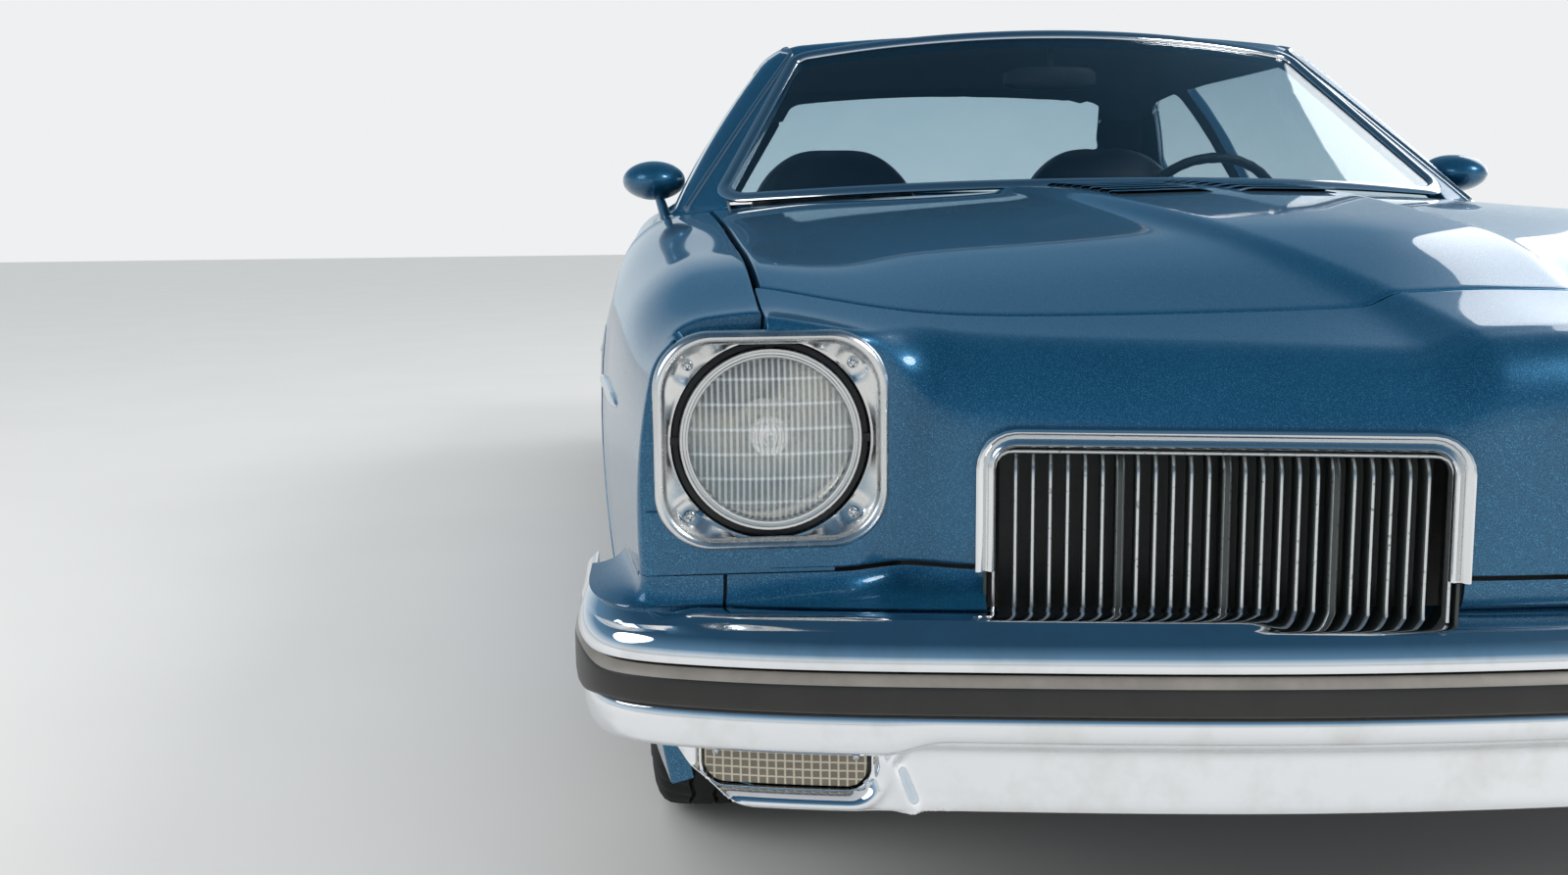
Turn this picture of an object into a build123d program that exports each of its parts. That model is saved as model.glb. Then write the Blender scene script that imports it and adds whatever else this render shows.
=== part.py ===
from build123d import *
import os
from math import atan2, cos, degrees, radians, sin, hypot

# A two-door muscle car of the middle 1970s, in millimetres.
# +Z is up and the front of the car faces -Y. +X is the car's left side.
# s is the distance back from the tip of the front bumper.
# The origin is on the ground, in the middle of the overall length and width.

# Driving dimensions
LENGTH = 5270
HALF_WIDTH = 987
FRONT_AXLE = 1040
WHEELBASE = 2845
REAR_AXLE = FRONT_AXLE + WHEELBASE
HALF_TRACK = 800
TYRE_RADIUS = 340
TYRE_WIDTH = 225
RIM_RADIUS = 190
ARCH_RADIUS = 396
KINGPIN_X = 730
PANEL = 28
FACE_S = 162
DOOR_DEPTH = 110
GAP = 5
SEAM_X = 781
GLASS = 6

# Where the panels meet, as distances back from the front
COWL = 1715
DOOR_REAR = 3020
DECK_FRONT = 4090
TAIL = 5150
TAIL_PANEL = 5118
DECK_X = 690
SILL_TOP = 258
BELT = 905

parts = {}


def at(s):
    """Y of a place that is s behind the front bumper's tip."""
    return s - LENGTH / 2


def block(x0, x1, s0, s1, z0, z1):
    """Box between two corners."""
    middle = Pos((x0 + x1) / 2, at((s0 + s1) / 2), (z0 + z1) / 2)
    return middle * Box(x1 - x0, s1 - s0, z1 - z0)


def bar(x0, x1, s, z, radius):
    """Round bar along X."""
    return Pos((x0 + x1) / 2, at(s), z) * Rot(0, 90, 0) * Cylinder(radius, x1 - x0)


def both(shape):
    """The shape and its mirror image on the car's other side, as separate solids."""
    return Compound(children=shape.solids() + mirror(shape, Plane.YZ).solids())


def pair(name, shape):
    """The same piece on both sides, each a node of its own; the shape is given on the left."""
    parts[name + "_left"] = shape
    parts[name + "_right"] = mirror(shape, Plane.YZ)


def ring(points):
    """Closed wire through its corners, given as vectors."""
    return Wire.make_polygon(points, close=True)


# The lower body's cross-sections:
# s, sill x, sill z, widest x, widest z, shoulder x, shoulder z, seam x, seam z, middle z
BODY = (
    (FACE_S, 880, 330, 912, 620, 895, 758, 786, 819, 827),
    (450, 905, 300, 938, 610, 924, 782, 788, 853, 872),
    (1040, 912, 230, 982, 590, 938, 820, 790, 890, 925),
    (1700, 905, 200, 983, 600, 938, 858, 800, 917, 950),
    (2900, 905, 200, 985, 600, 930, 865, 815, 916, 940),
    (3885, 905, 210, 981, 610, 938, 872, 805, 932, 955),
    (4600, 890, 280, 958, 640, 908, 858, 770, 912, 926),
    (5150, 850, 400, 900, 650, 862, 812, 730, 866, 876),
)


def body_section(row, inset):
    """Closed cross-section of the lower body, drawn in by inset."""
    s, sill_x, sill_z, wide_x, wide_z, shoulder_x, shoulder_z, seam_x, seam_z, top_z = row
    sill_x, wide_x, shoulder_x = sill_x - inset, wide_x - inset, shoulder_x - inset
    seam_x, shoulder_z = seam_x - 0.3 * inset, shoulder_z - 0.3 * inset
    seam_z, top_z = seam_z - inset, top_z - inset
    sill_z = sill_z - 3 * abs(inset)
    round_x = seam_x + 0.72 * (shoulder_x - seam_x)
    round_z = shoulder_z + 0.74 * (seam_z - shoulder_z)
    right = [(-sill_x, sill_z), (-wide_x, wide_z), (-shoulder_x, shoulder_z), (-round_x, round_z)]
    left = [(-x, z) for x, z in right]
    p = lambda point: Vector(point[0], at(s), point[1])
    return Wire([
        Edge.make_line(p(right[0]), p(left[0])),
        Edge.make_three_point_arc(p(left[0]), p(left[1]), p(left[2])),
        Edge.make_three_point_arc(p(left[2]), p(left[3]), p((seam_x, seam_z))),
        Edge.make_three_point_arc(p((seam_x, seam_z)), p((0, top_z)), p((-seam_x, seam_z))),
        Edge.make_three_point_arc(p((-seam_x, seam_z)), p(right[3]), p(right[2])),
        Edge.make_three_point_arc(p(right[2]), p(right[1]), p(right[0])),
    ])


def body_hull(inset):
    """The lower body as one closed form, drawn in by inset."""
    return Solid.make_loft([body_section(row, inset) for row in BODY])


hull = body_hull(0)
panel_core = body_hull(PANEL)
skin = hull - panel_core

# The greenhouse's cross-sections: s, belt x, rail x, rail z, crown z
GREENHOUSE = (
    (1560, 858, 626, 1240, 1290),
    (2200, 858, 622, 1264, 1306),
    (2650, 858, 616, 1286, 1339.6),
    (3300, 846, 600, 1270, 1318),
    (4200, 800, 560, 1150, 1190),
)
BELT_FOOT = 880


def house_section(row, inset):
    """Closed cross-section of the greenhouse, drawn in by inset."""
    s, belt_x, rail_x, rail_z, crown_z = row
    belt_x, rail_x = belt_x - inset, rail_x - 0.8 * inset
    rail_z, crown_z = rail_z - 0.6 * inset, crown_z - inset
    foot = BELT_FOOT - 2 * inset
    side_x, side_z = (belt_x + rail_x) / 2 + 16, (BELT + rail_z) / 2
    p = lambda x, z: Vector(x, at(s), z)
    shoulder_x, shoulder_z = rail_x - 42, rail_z + 20
    bend_x, bend_z = rail_x - 15, rail_z + 15
    return Wire([
        Edge.make_line(p(-belt_x - 8, foot), p(belt_x + 8, foot)),
        Edge.make_three_point_arc(p(belt_x + 8, foot), p(side_x, side_z), p(rail_x, rail_z)),
        Edge.make_three_point_arc(p(rail_x, rail_z), p(bend_x, bend_z), p(shoulder_x, shoulder_z)),
        Edge.make_three_point_arc(p(shoulder_x, shoulder_z), p(0, crown_z), p(-shoulder_x, shoulder_z)),
        Edge.make_three_point_arc(p(-shoulder_x, shoulder_z), p(-bend_x, bend_z), p(-rail_x, rail_z)),
        Edge.make_three_point_arc(p(-rail_x, rail_z), p(-side_x, side_z), p(-belt_x - 8, foot)),
    ])


def bowed_slab(low, high, lift, front, back):
    """Slab between two bowed edges, each (half width, s at the sides, z at the sides, s and z
    in the middle). It is carried on by lift of its height at each end, and reaches from
    front to back of the surface through the edges."""
    def spread(a, b, t):
        return [p + (q - p) * t for p, q in zip(a, b)]
    wires = []
    for t in (-lift, 1 + lift):
        half, side_s, side_z, mid_s, mid_z = spread(low, high, t)
        reach = hypot(side_s - mid_s, side_z - mid_z) * (1 if side_s > mid_s else -1)
        step_s, step_z = (side_s - mid_s) / reach, (side_z - mid_z) / reach
        def p(x, s, z, shift):
            return Vector(x, at(s + step_s * shift), z + step_z * shift)
        wires.append(Wire([
            Edge.make_three_point_arc(p(-half, side_s, side_z, front), p(0, mid_s, mid_z, front),
                                      p(half, side_s, side_z, front)),
            Edge.make_line(p(half, side_s, side_z, front), p(half, side_s, side_z, back)),
            Edge.make_three_point_arc(p(half, side_s, side_z, back), p(0, mid_s, mid_z, back),
                                      p(-half, side_s, side_z, back)),
            Edge.make_line(p(-half, side_s, side_z, back), p(-half, side_s, side_z, front)),
        ]))
    return Solid.make_loft(wires, ruled=True)


# The windshield's and rear window's lower and upper edges:
# half width, s and z at the sides, s and z in the middle
SHIELD_LOW = (775, 1830, 938, 1590, 962)
SHIELD_HIGH = (575, 2227, 1262, 2143, 1304)
BACK_LOW = (660, 4010, 955, 4085, 962)
BACK_HIGH = (500, 3400, 1270, 3440, 1300)


def scaled(edge, extra):
    """An edge of a window made wider by extra on each side, on the same bow."""
    half, side_s, side_z, mid_s, mid_z = edge
    t = ((half + extra) / half) ** 2
    return (half + extra, mid_s + (side_s - mid_s) * t, mid_z + (side_z - mid_z) * t, mid_s, mid_z)


def greenhouse_side(inset):
    """The greenhouse before the windshield and the rear window trim it."""
    return Solid.make_loft([house_section(row, inset) for row in GREENHOUSE])


def greenhouse(inset):
    """The greenhouse as one closed form, trimmed at the windshield and the rear window."""
    ahead = bowed_slab(scaled(SHIELD_LOW, 250), scaled(SHIELD_HIGH, 250), 0.45, -900, inset)
    behind = bowed_slab(scaled(BACK_LOW, 250), scaled(BACK_HIGH, 250), 0.45, -inset, 900)
    return greenhouse_side(inset) - ahead - behind


house = greenhouse(0)
house_core = greenhouse(46)

# Windows and window openings: the glass, and the hole that is cut for it
shield_glass = bowed_slab(SHIELD_LOW, SHIELD_HIGH, 0, 4, 4 + GLASS)
back_glass = bowed_slab(BACK_LOW, BACK_HIGH, 0, -4 - GLASS, -4)
shield_hole = bowed_slab(scaled(SHIELD_LOW, -28), scaled(SHIELD_HIGH, -28), -0.04, -60, 150)
back_hole = bowed_slab(scaled(BACK_LOW, -30), scaled(BACK_HIGH, -30), -0.05, -150, 60)
shield_seat = bowed_slab(SHIELD_LOW, SHIELD_HIGH, 0, -60, 4 + GLASS)
back_seat = bowed_slab(BACK_LOW, BACK_HIGH, 0, -4 - GLASS, 60)

PILLAR_FRONT = 3022
PILLAR_REAR = 3092
GLASS_TOP = 1262
ROOF_SEAM = 1215


def side_prism(points, x0=0, x1=HALF_WIDTH + 30):
    """Prism through the left side whose outline is given as (s, z) corners."""
    face = Face(ring([Vector(x0, at(s), z) for s, z in points]))
    return Solid.extrude(face, Vector(x1 - x0, 0, 0))


# Side windows as (s, z) outlines: the front one follows the windshield pillar
DOOR_WINDOW = ((1934, BELT), (2270, 1248), (2306, GLASS_TOP), (3010, GLASS_TOP), (3010, BELT))
QUARTER_WINDOW = ((3104, 930), (3104, 1250), (3300, 1236), (3560, 1060), (3560, 990), (3500, 950))


def side_glass(outline, deep):
    """Pane that lies deep inside the greenhouse's outer face."""
    outer, inner = greenhouse_side(deep), greenhouse_side(deep + GLASS)
    return (outer - inner) & side_prism(outline, 300)


door_glass = side_glass(DOOR_WINDOW, 4)
quarter_glass = side_glass(QUARTER_WINDOW, 14)
house_shell = house - house_core

# The roof carries the windshield pillars and the pillars behind the doors
roof_zone = block(-900, 900, 1500, PILLAR_REAR, BELT + 6, 1400)
roof_zone = roof_zone + block(-900, 900, PILLAR_REAR, 4200, ROOF_SEAM, 1400)
roof_zone = roof_zone + block(-900, 900, PILLAR_FRONT - 4, PILLAR_REAR, BELT_FOOT, BELT + 6)
roof_zone = roof_zone - block(-745, 745, 1500, 1850, BELT, 1000)
DOOR_HOLE = ((1870, 860), (2250, 1250), (2296, GLASS_TOP + 5), (3018, GLASS_TOP + 5), (3018, 860))
QUARTER_HOLE = ((3092, 918), (3092, 1262), (3310, 1246), (3572, 1066), (3572, 984), (3505, 918))
door_hole = side_prism(DOOR_HOLE, 300)
quarter_hole = side_prism(QUARTER_HOLE, 300)
roof = (house_shell & roof_zone) - shield_hole - shield_seat - both(door_hole)
roof = roof - back_hole - back_seat - both(quarter_hole)
parts["roof"] = roof

# Doors: the outer skin's form, as thick as the whole door
DOOR_OUTLINE = ((COWL + GAP, SILL_TOP), (COWL + GAP, BELT), (DOOR_REAR, BELT), (DOOR_REAR, SILL_TOP))
door_zone = side_prism(DOOR_OUTLINE, 826)
door_core = body_hull(DOOR_DEPTH)
DOOR_SLANT = ((800, DOOR_REAR - 12), (985, DOOR_REAR), (985, 3200), (800, 3200))
slant = ring([Vector(x, at(s), 0) for x, s in DOOR_SLANT])
door = ((hull - door_core) & door_zone) - Solid.extrude(Face(slant), Vector(0, 0, 1200))
pair("door", door)
pair("door_glass", door_glass)

# Fenders, from the lamps to the doors, with the wheel arch cut out
front_arch = bar(500, 1100, FRONT_AXLE, TYRE_RADIUS + 5, ARCH_RADIUS)
fender = skin & block(SEAM_X + 3, 1100, 100, COWL, 0, 1000)
fender_face = hull & block(SEAM_X + 3, 1100, 100, FACE_S + PANEL, 556, 1000)
fender = fender + fender_face - front_arch
LAMP_X, LAMP_S, LAMP_Z = 779, 165, 695
LAMP_RADIUS = 84
lamp_hole = Pos(LAMP_X, at(LAMP_S), LAMP_Z) * Rot(90, 0, 0) * Cylinder(LAMP_RADIUS + 14, 160)
fender = fender - lamp_hole
pair("fender", fender)

# Quarter panels, with the rear pillars above them
rear_arch = bar(500, 1100, REAR_AXLE, TYRE_RADIUS + 5, ARCH_RADIUS - 12)
quarter_zone = block(0, 1100, DOOR_REAR + GAP, TAIL_PANEL, 0, 1000)
quarter_zone = quarter_zone - block(0, 776, DECK_FRONT, TAIL + 1, 400, 1100)
quarter_zone = quarter_zone - block(0, 700, 3000, DECK_FRONT, 0, 1000)
pillar_zone = block(0, 900, PILLAR_REAR, 4200, BELT_FOOT, ROOF_SEAM)
pillar_zone = pillar_zone - block(0, DECK_X, 3700, DECK_FRONT, 850, 985)
pillar_zone = pillar_zone - block(0, 776, DECK_FRONT, 4300, 850, 1000)
rear_pillar = (house_shell & pillar_zone) - back_hole - back_seat - quarter_hole
quarter = ((skin & quarter_zone) - house) + rear_pillar - rear_arch
pair("quarter", quarter)

# Panel between the rear window and the trunk lid
deck_zone = block(-DECK_X, DECK_X, 3700, DECK_FRONT, 880, 985)
rear_deck = (house_shell & deck_zone) - back_hole - back_seat
rear_deck = rear_deck + ((skin & block(-DECK_X, DECK_X, 4000, DECK_FRONT, 850, 985)) - house)
parts["rear_deck"] = rear_deck

# Trunk lid and tail panel
LID_X = 771
lid_zone = block(-LID_X, LID_X, DECK_FRONT + GAP, TAIL_PANEL - GAP, 760, 1000)
parts["trunk_lid"] = skin & lid_zone
tail_panel = hull & block(-1000, 1000, TAIL_PANEL, TAIL, 200, 1000)
parts["tail_panel"] = tail_panel

# Hood: s, edge z, valley x, valley z, foot x, foot z, crest x, crest z, middle z
HOOD = (
    (235, 820, 605, 786, 270, 797, 95, 817, 822),
    (420, 849, 608, 820, 160, 849, 138, 863, 869),
    (700, 871, 610, 862, 190, 890, 172, 904, 910),
    (1150, 896, 620, 902, 222, 931, 205, 944, 949),
    (1700, 917, 600, 938, 236, 950, 218, 962, 966),
)
HOOD_X = SEAM_X - 3
HOOD_PANEL = 22


def hood_section(row):
    """Cross-section of the hood: its top line and the same line below it."""
    s, edge_z, valley_x, valley_z, foot_x, foot_z, crest_x, crest_z, middle_z = row
    half = [(HOOD_X, edge_z), (valley_x, valley_z), (foot_x, foot_z), (crest_x, crest_z)]
    top = half + [(0, middle_z)] + [(-x, z) for x, z in reversed(half)]
    low = [(x, z - HOOD_PANEL) for x, z in reversed(top)]
    return ring([Vector(x, at(s), z) for x, z in top + low])


# The hood's front and rear edges are bowed: s at the sides and in the middle
HOOD_FRONT = (338, 255)
HOOD_REAR = (1688, 1562)


def bowed_zone(front, rear, half=HOOD_X + 2):
    """Upright prism between two bowed edges across the car."""
    p = lambda x, s: Vector(x, at(s), 0)
    outline = Wire([
        Edge.make_three_point_arc(p(-half, front[0]), p(0, front[1]), p(half, front[0])),
        Edge.make_line(p(half, front[0]), p(half, rear[0])),
        Edge.make_three_point_arc(p(half, rear[0]), p(0, rear[1]), p(-half, rear[0])),
        Edge.make_line(p(-half, rear[0]), p(-half, front[0])),
    ])
    return Solid.extrude(Face(outline), Vector(0, 0, 1200))


hood = Solid.make_loft([hood_section(row) for row in HOOD]) & bowed_zone(HOOD_FRONT, HOOD_REAR)

# Two banks of louvres on the raised middle of the hood: each has a slot below its lip
LOUVRE_S, LOUVRE_PITCH, LOUVRE_COUNT = 1270, 30, 8
LOUVRE_BANKS = ((-176, -22), (22, 176))
LOUVRE_HEIGHT = 9
lip_outline = ((0, -4), (4, LOUVRE_HEIGHT), (10, LOUVRE_HEIGHT), (LOUVRE_PITCH - 4, -4))
for index in range(LOUVRE_COUNT):
    place = LOUVRE_S + index * LOUVRE_PITCH
    z = 950 + (place - LOUVRE_S) * 0.028
    for x0, x1 in LOUVRE_BANKS:
        lip = Face(ring([Vector(x0, at(place + s), z + rise) for s, rise in lip_outline]))
        hood = hood + Solid.extrude(lip, Vector(x1 - x0, 0, 0))
parts["hood"] = hood

# Nose panel: x, top edge s, top edge z, face s
NOSE = (
    (0, 250, 828, 34),
    (98, 251, 824, 36),
    (130, 252, 808, 46),
    (350, 267, 799, 98),
    (578, 295, 793, 152),
    (640, 306, 800, 190),
    (700, 317, 822, 167),
    (SEAM_X, 333, 828, 163),
)
NOSE_BOTTOM = 562
NOSE_BROW = 712


def nose_section(row):
    """Section through the nose at one x: it rolls forward and down, then drops."""
    x, top_s, top_z, face_s = row
    p = lambda s, z: Vector(x, at(s), z)
    mid_s, mid_z = face_s + 0.33 * (top_s - face_s), NOSE_BROW + 0.74 * (top_z - NOSE_BROW)
    back = PANEL - 4
    return Wire([
        Edge.make_three_point_arc(p(top_s, top_z), p(mid_s, mid_z), p(face_s, NOSE_BROW)),
        Edge.make_line(p(face_s, NOSE_BROW), p(face_s + 6, NOSE_BOTTOM)),
        Edge.make_line(p(face_s + 6, NOSE_BOTTOM), p(face_s + 6 + back, NOSE_BOTTOM)),
        Edge.make_line(p(face_s + 6 + back, NOSE_BOTTOM), p(face_s + back, NOSE_BROW - 8)),
        Edge.make_three_point_arc(p(face_s + back, NOSE_BROW - 8), p(mid_s + 18, mid_z - 18),
                                  p(top_s, top_z - back)),
        Edge.make_line(p(top_s, top_z - back), p(top_s, top_z)),
    ])


nose_rows = [(-row[0],) + row[1:] for row in reversed(NOSE[1:])] + list(NOSE)
nose = Solid.make_loft([nose_section(row) for row in nose_rows], ruled=True)

# Grilles: each lies in an upright plane that sweeps back towards the fender
GRILLE_IN, GRILLE_OUT = (119, 32), (577, 140)
GRILLE_SWEEP = degrees(atan2(GRILLE_OUT[1] - GRILLE_IN[1], GRILLE_OUT[0] - GRILLE_IN[0]))
GRILLE_WIDTH = hypot(GRILLE_OUT[0] - GRILLE_IN[0], GRILLE_OUT[1] - GRILLE_IN[1])
GRILLE_MID = ((GRILLE_IN[0] + GRILLE_OUT[0]) / 2, (GRILLE_IN[1] + GRILLE_OUT[1]) / 2)
GRILLE_TOP, GRILLE_FOOT, INSERT_FOOT = 697, 561, 530
FRAME_BEAD = 20


def on_grille(shape):
    """Places a shape drawn about the grille's middle into the left grille's plane."""
    return Pos(GRILLE_MID[0], at(GRILLE_MID[1]), 0) * Rot(0, 0, GRILLE_SWEEP) * shape


def local_box(x0, x1, y0, y1, z0, z1):
    """Box given by its corners in the grille's own plane."""
    return Pos((x0 + x1) / 2, (y0 + y1) / 2, (z0 + z1) / 2) * Box(x1 - x0, y1 - y0, z1 - z0)


half_frame = GRILLE_WIDTH / 2
hole_half, hole_top = half_frame - FRAME_BEAD + 4, GRILLE_TOP - FRAME_BEAD + 4
grille_hole = fillet(local_box(-hole_half, hole_half, -60, 90, 400, hole_top).edges()
                     .filter_by(Axis.Y).sort_by(Axis.Z)[-2:], 20)
frame_block = local_box(-half_frame, half_frame, -14, 8, GRILLE_FOOT, GRILLE_TOP)
frame_block = fillet(frame_block.edges().filter_by(Axis.Y).sort_by(Axis.Z)[-2:], 40)
frame_seat = on_grille(frame_block)
frame_front = frame_block.edges().group_by(Axis.Y)[0].filter_by(lambda e: e.center().Z > GRILLE_FOOT + 2)
frame_block = fillet(frame_front, 7)
parts["grille_frames"] = both(on_grille(frame_block - grille_hole))

# The insert's upright blades: three thick dividers among thin ones, counted from outboard
BLADES = "tttttt|ttttt|ttttt|ttttt"
BLADE_TOP = 679
insert_half = half_frame - FRAME_BEAD - 3
blade_pitch = 2 * insert_half / (len(BLADES) + 1)
insert = local_box(-insert_half, insert_half, 30, 44, BLADE_TOP - 14, BLADE_TOP)
insert = insert + local_box(-insert_half, insert_half, 30, 44, INSERT_FOOT, INSERT_FOOT + 12)
for side in (-1, 1):
    edge = side * insert_half
    insert = insert + local_box(edge - 2, edge + 2, 2, 44, INSERT_FOOT, BLADE_TOP)
for index, kind in enumerate(BLADES):
    x = insert_half - (index + 1) * blade_pitch
    half = 3.5 if kind == "|" else 1.6
    insert = insert + local_box(x - half, x + half, 4, 40, INSERT_FOOT, BLADE_TOP)
parts["grille_inserts"] = both(on_grille(insert & grille_hole))

nose = nose - both(on_grille(grille_hole)) - both(frame_seat) - both(lamp_hole)
parts["nose_panel"] = nose

# Headlamps and the bright bezels round them
BEZEL_X, BEZEL_Z, BEZEL_WIDTH, BEZEL_HEIGHT = 778.5, 694.5, 233, 217
bezel = Pos(BEZEL_X, at(FACE_S - 13), BEZEL_Z) * Box(BEZEL_WIDTH, 24, BEZEL_HEIGHT)
bezel = fillet(bezel.edges().filter_by(Axis.Y), 56)
bezel = fillet(bezel.edges().group_by(Axis.Y)[0], 9)
dish = Pos(BEZEL_X, at(FACE_S - 25), BEZEL_Z) * Box(BEZEL_WIDTH - 24, 20, BEZEL_HEIGHT - 24)
dish = fillet(dish.edges().filter_by(Axis.Y), 46)
# Screw heads in the dish's corners: places from the bezel's middle
SCREW_PLACES = ((-81.5, -74.5), (81.5, -74.5), (-81.5, 75.5), (81.5, 75.5))
SCREW_RADIUS, SCREW_LENGTH = 6, 7
screw = Rot(90, 0, 0) * Cylinder(SCREW_RADIUS, SCREW_LENGTH)
screws = [Pos(BEZEL_X + x, at(FACE_S - 16), BEZEL_Z + z) * screw for x, z in SCREW_PLACES]
lamp_bore = Pos(LAMP_X, at(LAMP_S), LAMP_Z) * Rot(90, 0, 0) * Cylinder(LAMP_RADIUS + 13, 120)
parts["headlamp_bezels"] = both(bezel - dish - lamp_bore + screws)

# Headlamp's half profile as (radius, s), from the middle of its glass to the back of its bowl
LAMP_PROFILE = ((0, 141), (40, 144), (LAMP_RADIUS - 4, 156), (LAMP_RADIUS, 158), (92, 150), (94, 156),
                (94, 176), (70, 215), (26, 262), (0, 262))
lamp_half = Face(ring([Vector(LAMP_X + r, at(s), LAMP_Z) for r, s in LAMP_PROFILE]))
headlamp = revolve(lamp_half, Axis((LAMP_X, 0, LAMP_Z), (0, 1, 0)), 360)
parts["headlamps"] = both(headlamp)

# Cowl between the hood and the windshield
cowl = skin & bowed_zone((HOOD_REAR[0] + GAP, HOOD_REAR[1] + GAP), (1862, 1860), SEAM_X)
parts["cowl"] = cowl - bowed_slab(scaled(SHIELD_LOW, 250), scaled(SHIELD_HIGH, 250), 0.45, -2, 700)

parts["windshield"] = shield_glass
parts["rear_window"] = back_glass
parts["quarter_windows"] = both(quarter_glass)

# Bumpers in plan: x and s of the outer face at the middle, the corner's start, its bulge and end
BUMPER_DEPTH = 96
FRONT_PLAN = ((0, 0), (870, 112), (950, 158), (984, 240), (984, 430))
REAR_PLAN = ((0, 0), (880, 70), (955, 118), (984, 200), (984, 430))


def plan_band(plan, shift, depth, z0, z1):
    """Band round the car's end between two heights, moved inwards by shift and depth deep."""
    def edge_points(inset):
        middle, start, bulge, end, tip = plan
        return [(0, middle[1] + inset), (start[0] - 0.55 * inset, start[1] + 0.86 * inset),
                (bulge[0] - 0.8 * inset, bulge[1] + 0.6 * inset), (end[0] - inset, end[1] + 0.1 * inset),
                (tip[0] - inset, tip[1])]
    outer, inner = edge_points(shift), edge_points(shift + depth)
    p = lambda point, sign=1: Vector(sign * point[0], at(point[1]), z0)
    def run(points, sign):
        return [Edge.make_three_point_arc(p(points[1], sign), p(points[2], sign), p(points[3], sign)),
                Edge.make_line(p(points[3], sign), p(points[4], sign))]
    edges = [Edge.make_three_point_arc(p(outer[1], -1), p(outer[0]), p(outer[1]))]
    edges += run(outer, 1) + [Edge.make_line(p(outer[4]), p(inner[4]))] + run(inner, 1)
    edges += [Edge.make_three_point_arc(p(inner[1]), p(inner[0]), p(inner[1], -1))]
    edges += run(inner, -1) + [Edge.make_line(p(inner[4], -1), p(outer[4], -1))] + run(outer, -1)
    return Solid.extrude(Face(Wire(edges)), Vector(0, 0, z1 - z0))


RUB_LOW, RUB_HIGH, BUMPER_TOP, BUMPER_LOW = 435, 476, 528, 404
TOP_ROUND, LOW_ROUND = 14, 8
# Embossed ridge on each half of a bumper's shelf: inner and outer x, shift, depth and height
RIDGE = (330, 895, 24, 30, 4)


def rounded_rim(band, level, radius):
    """Rounds a band's outer edges at its highest (-1) or lowest (0) level."""
    rim = [edge for edge in band.edges().group_by(Axis.Z)[level]
           if abs((edge @ 0.5).X) > 940 or (edge @ 0.5).Y < at(50)]
    return fillet(rim, radius)


clearance = body_hull(-5) + block(-905, 905, TAIL - 1, TAIL + 3, 385, 880)
for end, plan, turn in (("front", FRONT_PLAN, Rot(0, 0, 0)), ("rear", REAR_PLAN, Rot(0, 0, 180))):
    upper = rounded_rim(plan_band(plan, 4, BUMPER_DEPTH, RUB_HIGH, BUMPER_TOP), -1, TOP_ROUND)
    lower = rounded_rim(plan_band(plan, 8, BUMPER_DEPTH - 30, BUMPER_LOW, RUB_LOW), 0, LOW_ROUND)
    ridge_in, ridge_out, ridge_shift, ridge_depth, ridge_height = RIDGE
    ridge = plan_band(plan, ridge_shift, ridge_depth, BUMPER_TOP - 2, BUMPER_TOP + ridge_height)
    ridge = ridge & both(block(ridge_in, ridge_out, 0, 400, BUMPER_TOP - 10, BUMPER_TOP + 20))
    spine = plan_band(plan, 22, BUMPER_DEPTH - 40, RUB_LOW, RUB_HIGH)
    strip = plan_band(plan, 0, 21, RUB_LOW + 1, RUB_HIGH - 1)
    parts[end + "_bumper"] = turn * (upper + spine + lower + ridge) - clearance
    parts[end + "_rub_strip"] = turn * strip - clearance

# Filler panels between the nose and the bumper, and the valance with its turn lamps
filler = plan_band(FRONT_PLAN, 78, 24, BUMPER_TOP + 2, 556) & block(-1000, 1000, 0, 400, 0, 600)
filler = filler - both(on_grille(local_box(-hole_half - 6, hole_half + 6, -80, 120, 400, 700)))
parts["bumper_fillers"] = filler - clearance
VALANCE_LOW = 320
TURN_LAMP = (687, 852, 346, 385)
valance = plan_band(FRONT_PLAN, 40, 26, VALANCE_LOW, BUMPER_LOW - 2) & block(-880, 880, 0, 400, 0, 600)
chin = plan_band(FRONT_PLAN, 52, 26, 280, VALANCE_LOW) & block(-590, 590, 0, 400, 0, 600)
lamp_recess = block(TURN_LAMP[0] - 14, TURN_LAMP[1] + 14, 0, 200, TURN_LAMP[2] - 10, TURN_LAMP[3] + 10)
parts["front_valance"] = (valance + chin - both(lamp_recess)) - clearance
turn_lamp = plan_band(FRONT_PLAN, 50, 40, TURN_LAMP[2], TURN_LAMP[3])
parts["turn_lamps"] = both(turn_lamp & block(TURN_LAMP[0], TURN_LAMP[1], 0, 400, 0, 600))
rear_valance = plan_band(REAR_PLAN, 40, 26, 330, BUMPER_LOW - 2) & block(-880, 880, 0, 400, 0, 600)
parts["rear_valance"] = Rot(0, 0, 180) * rear_valance - clearance
LENS_GROOVES = (618, 646, 674, 702)
tail_lamp = block(420, 830, TAIL, TAIL + 14, 590, 730)
tail_lamp = fillet(tail_lamp.edges().filter_by(Axis.Y), 24)
for z in LENS_GROOVES:
    tail_lamp = tail_lamp - block(444, 806, TAIL + 10, TAIL + 20, z - 3, z + 3)
parts["tail_lamps"] = both(tail_lamp)

BOOT_FLOOR = 524

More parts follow.
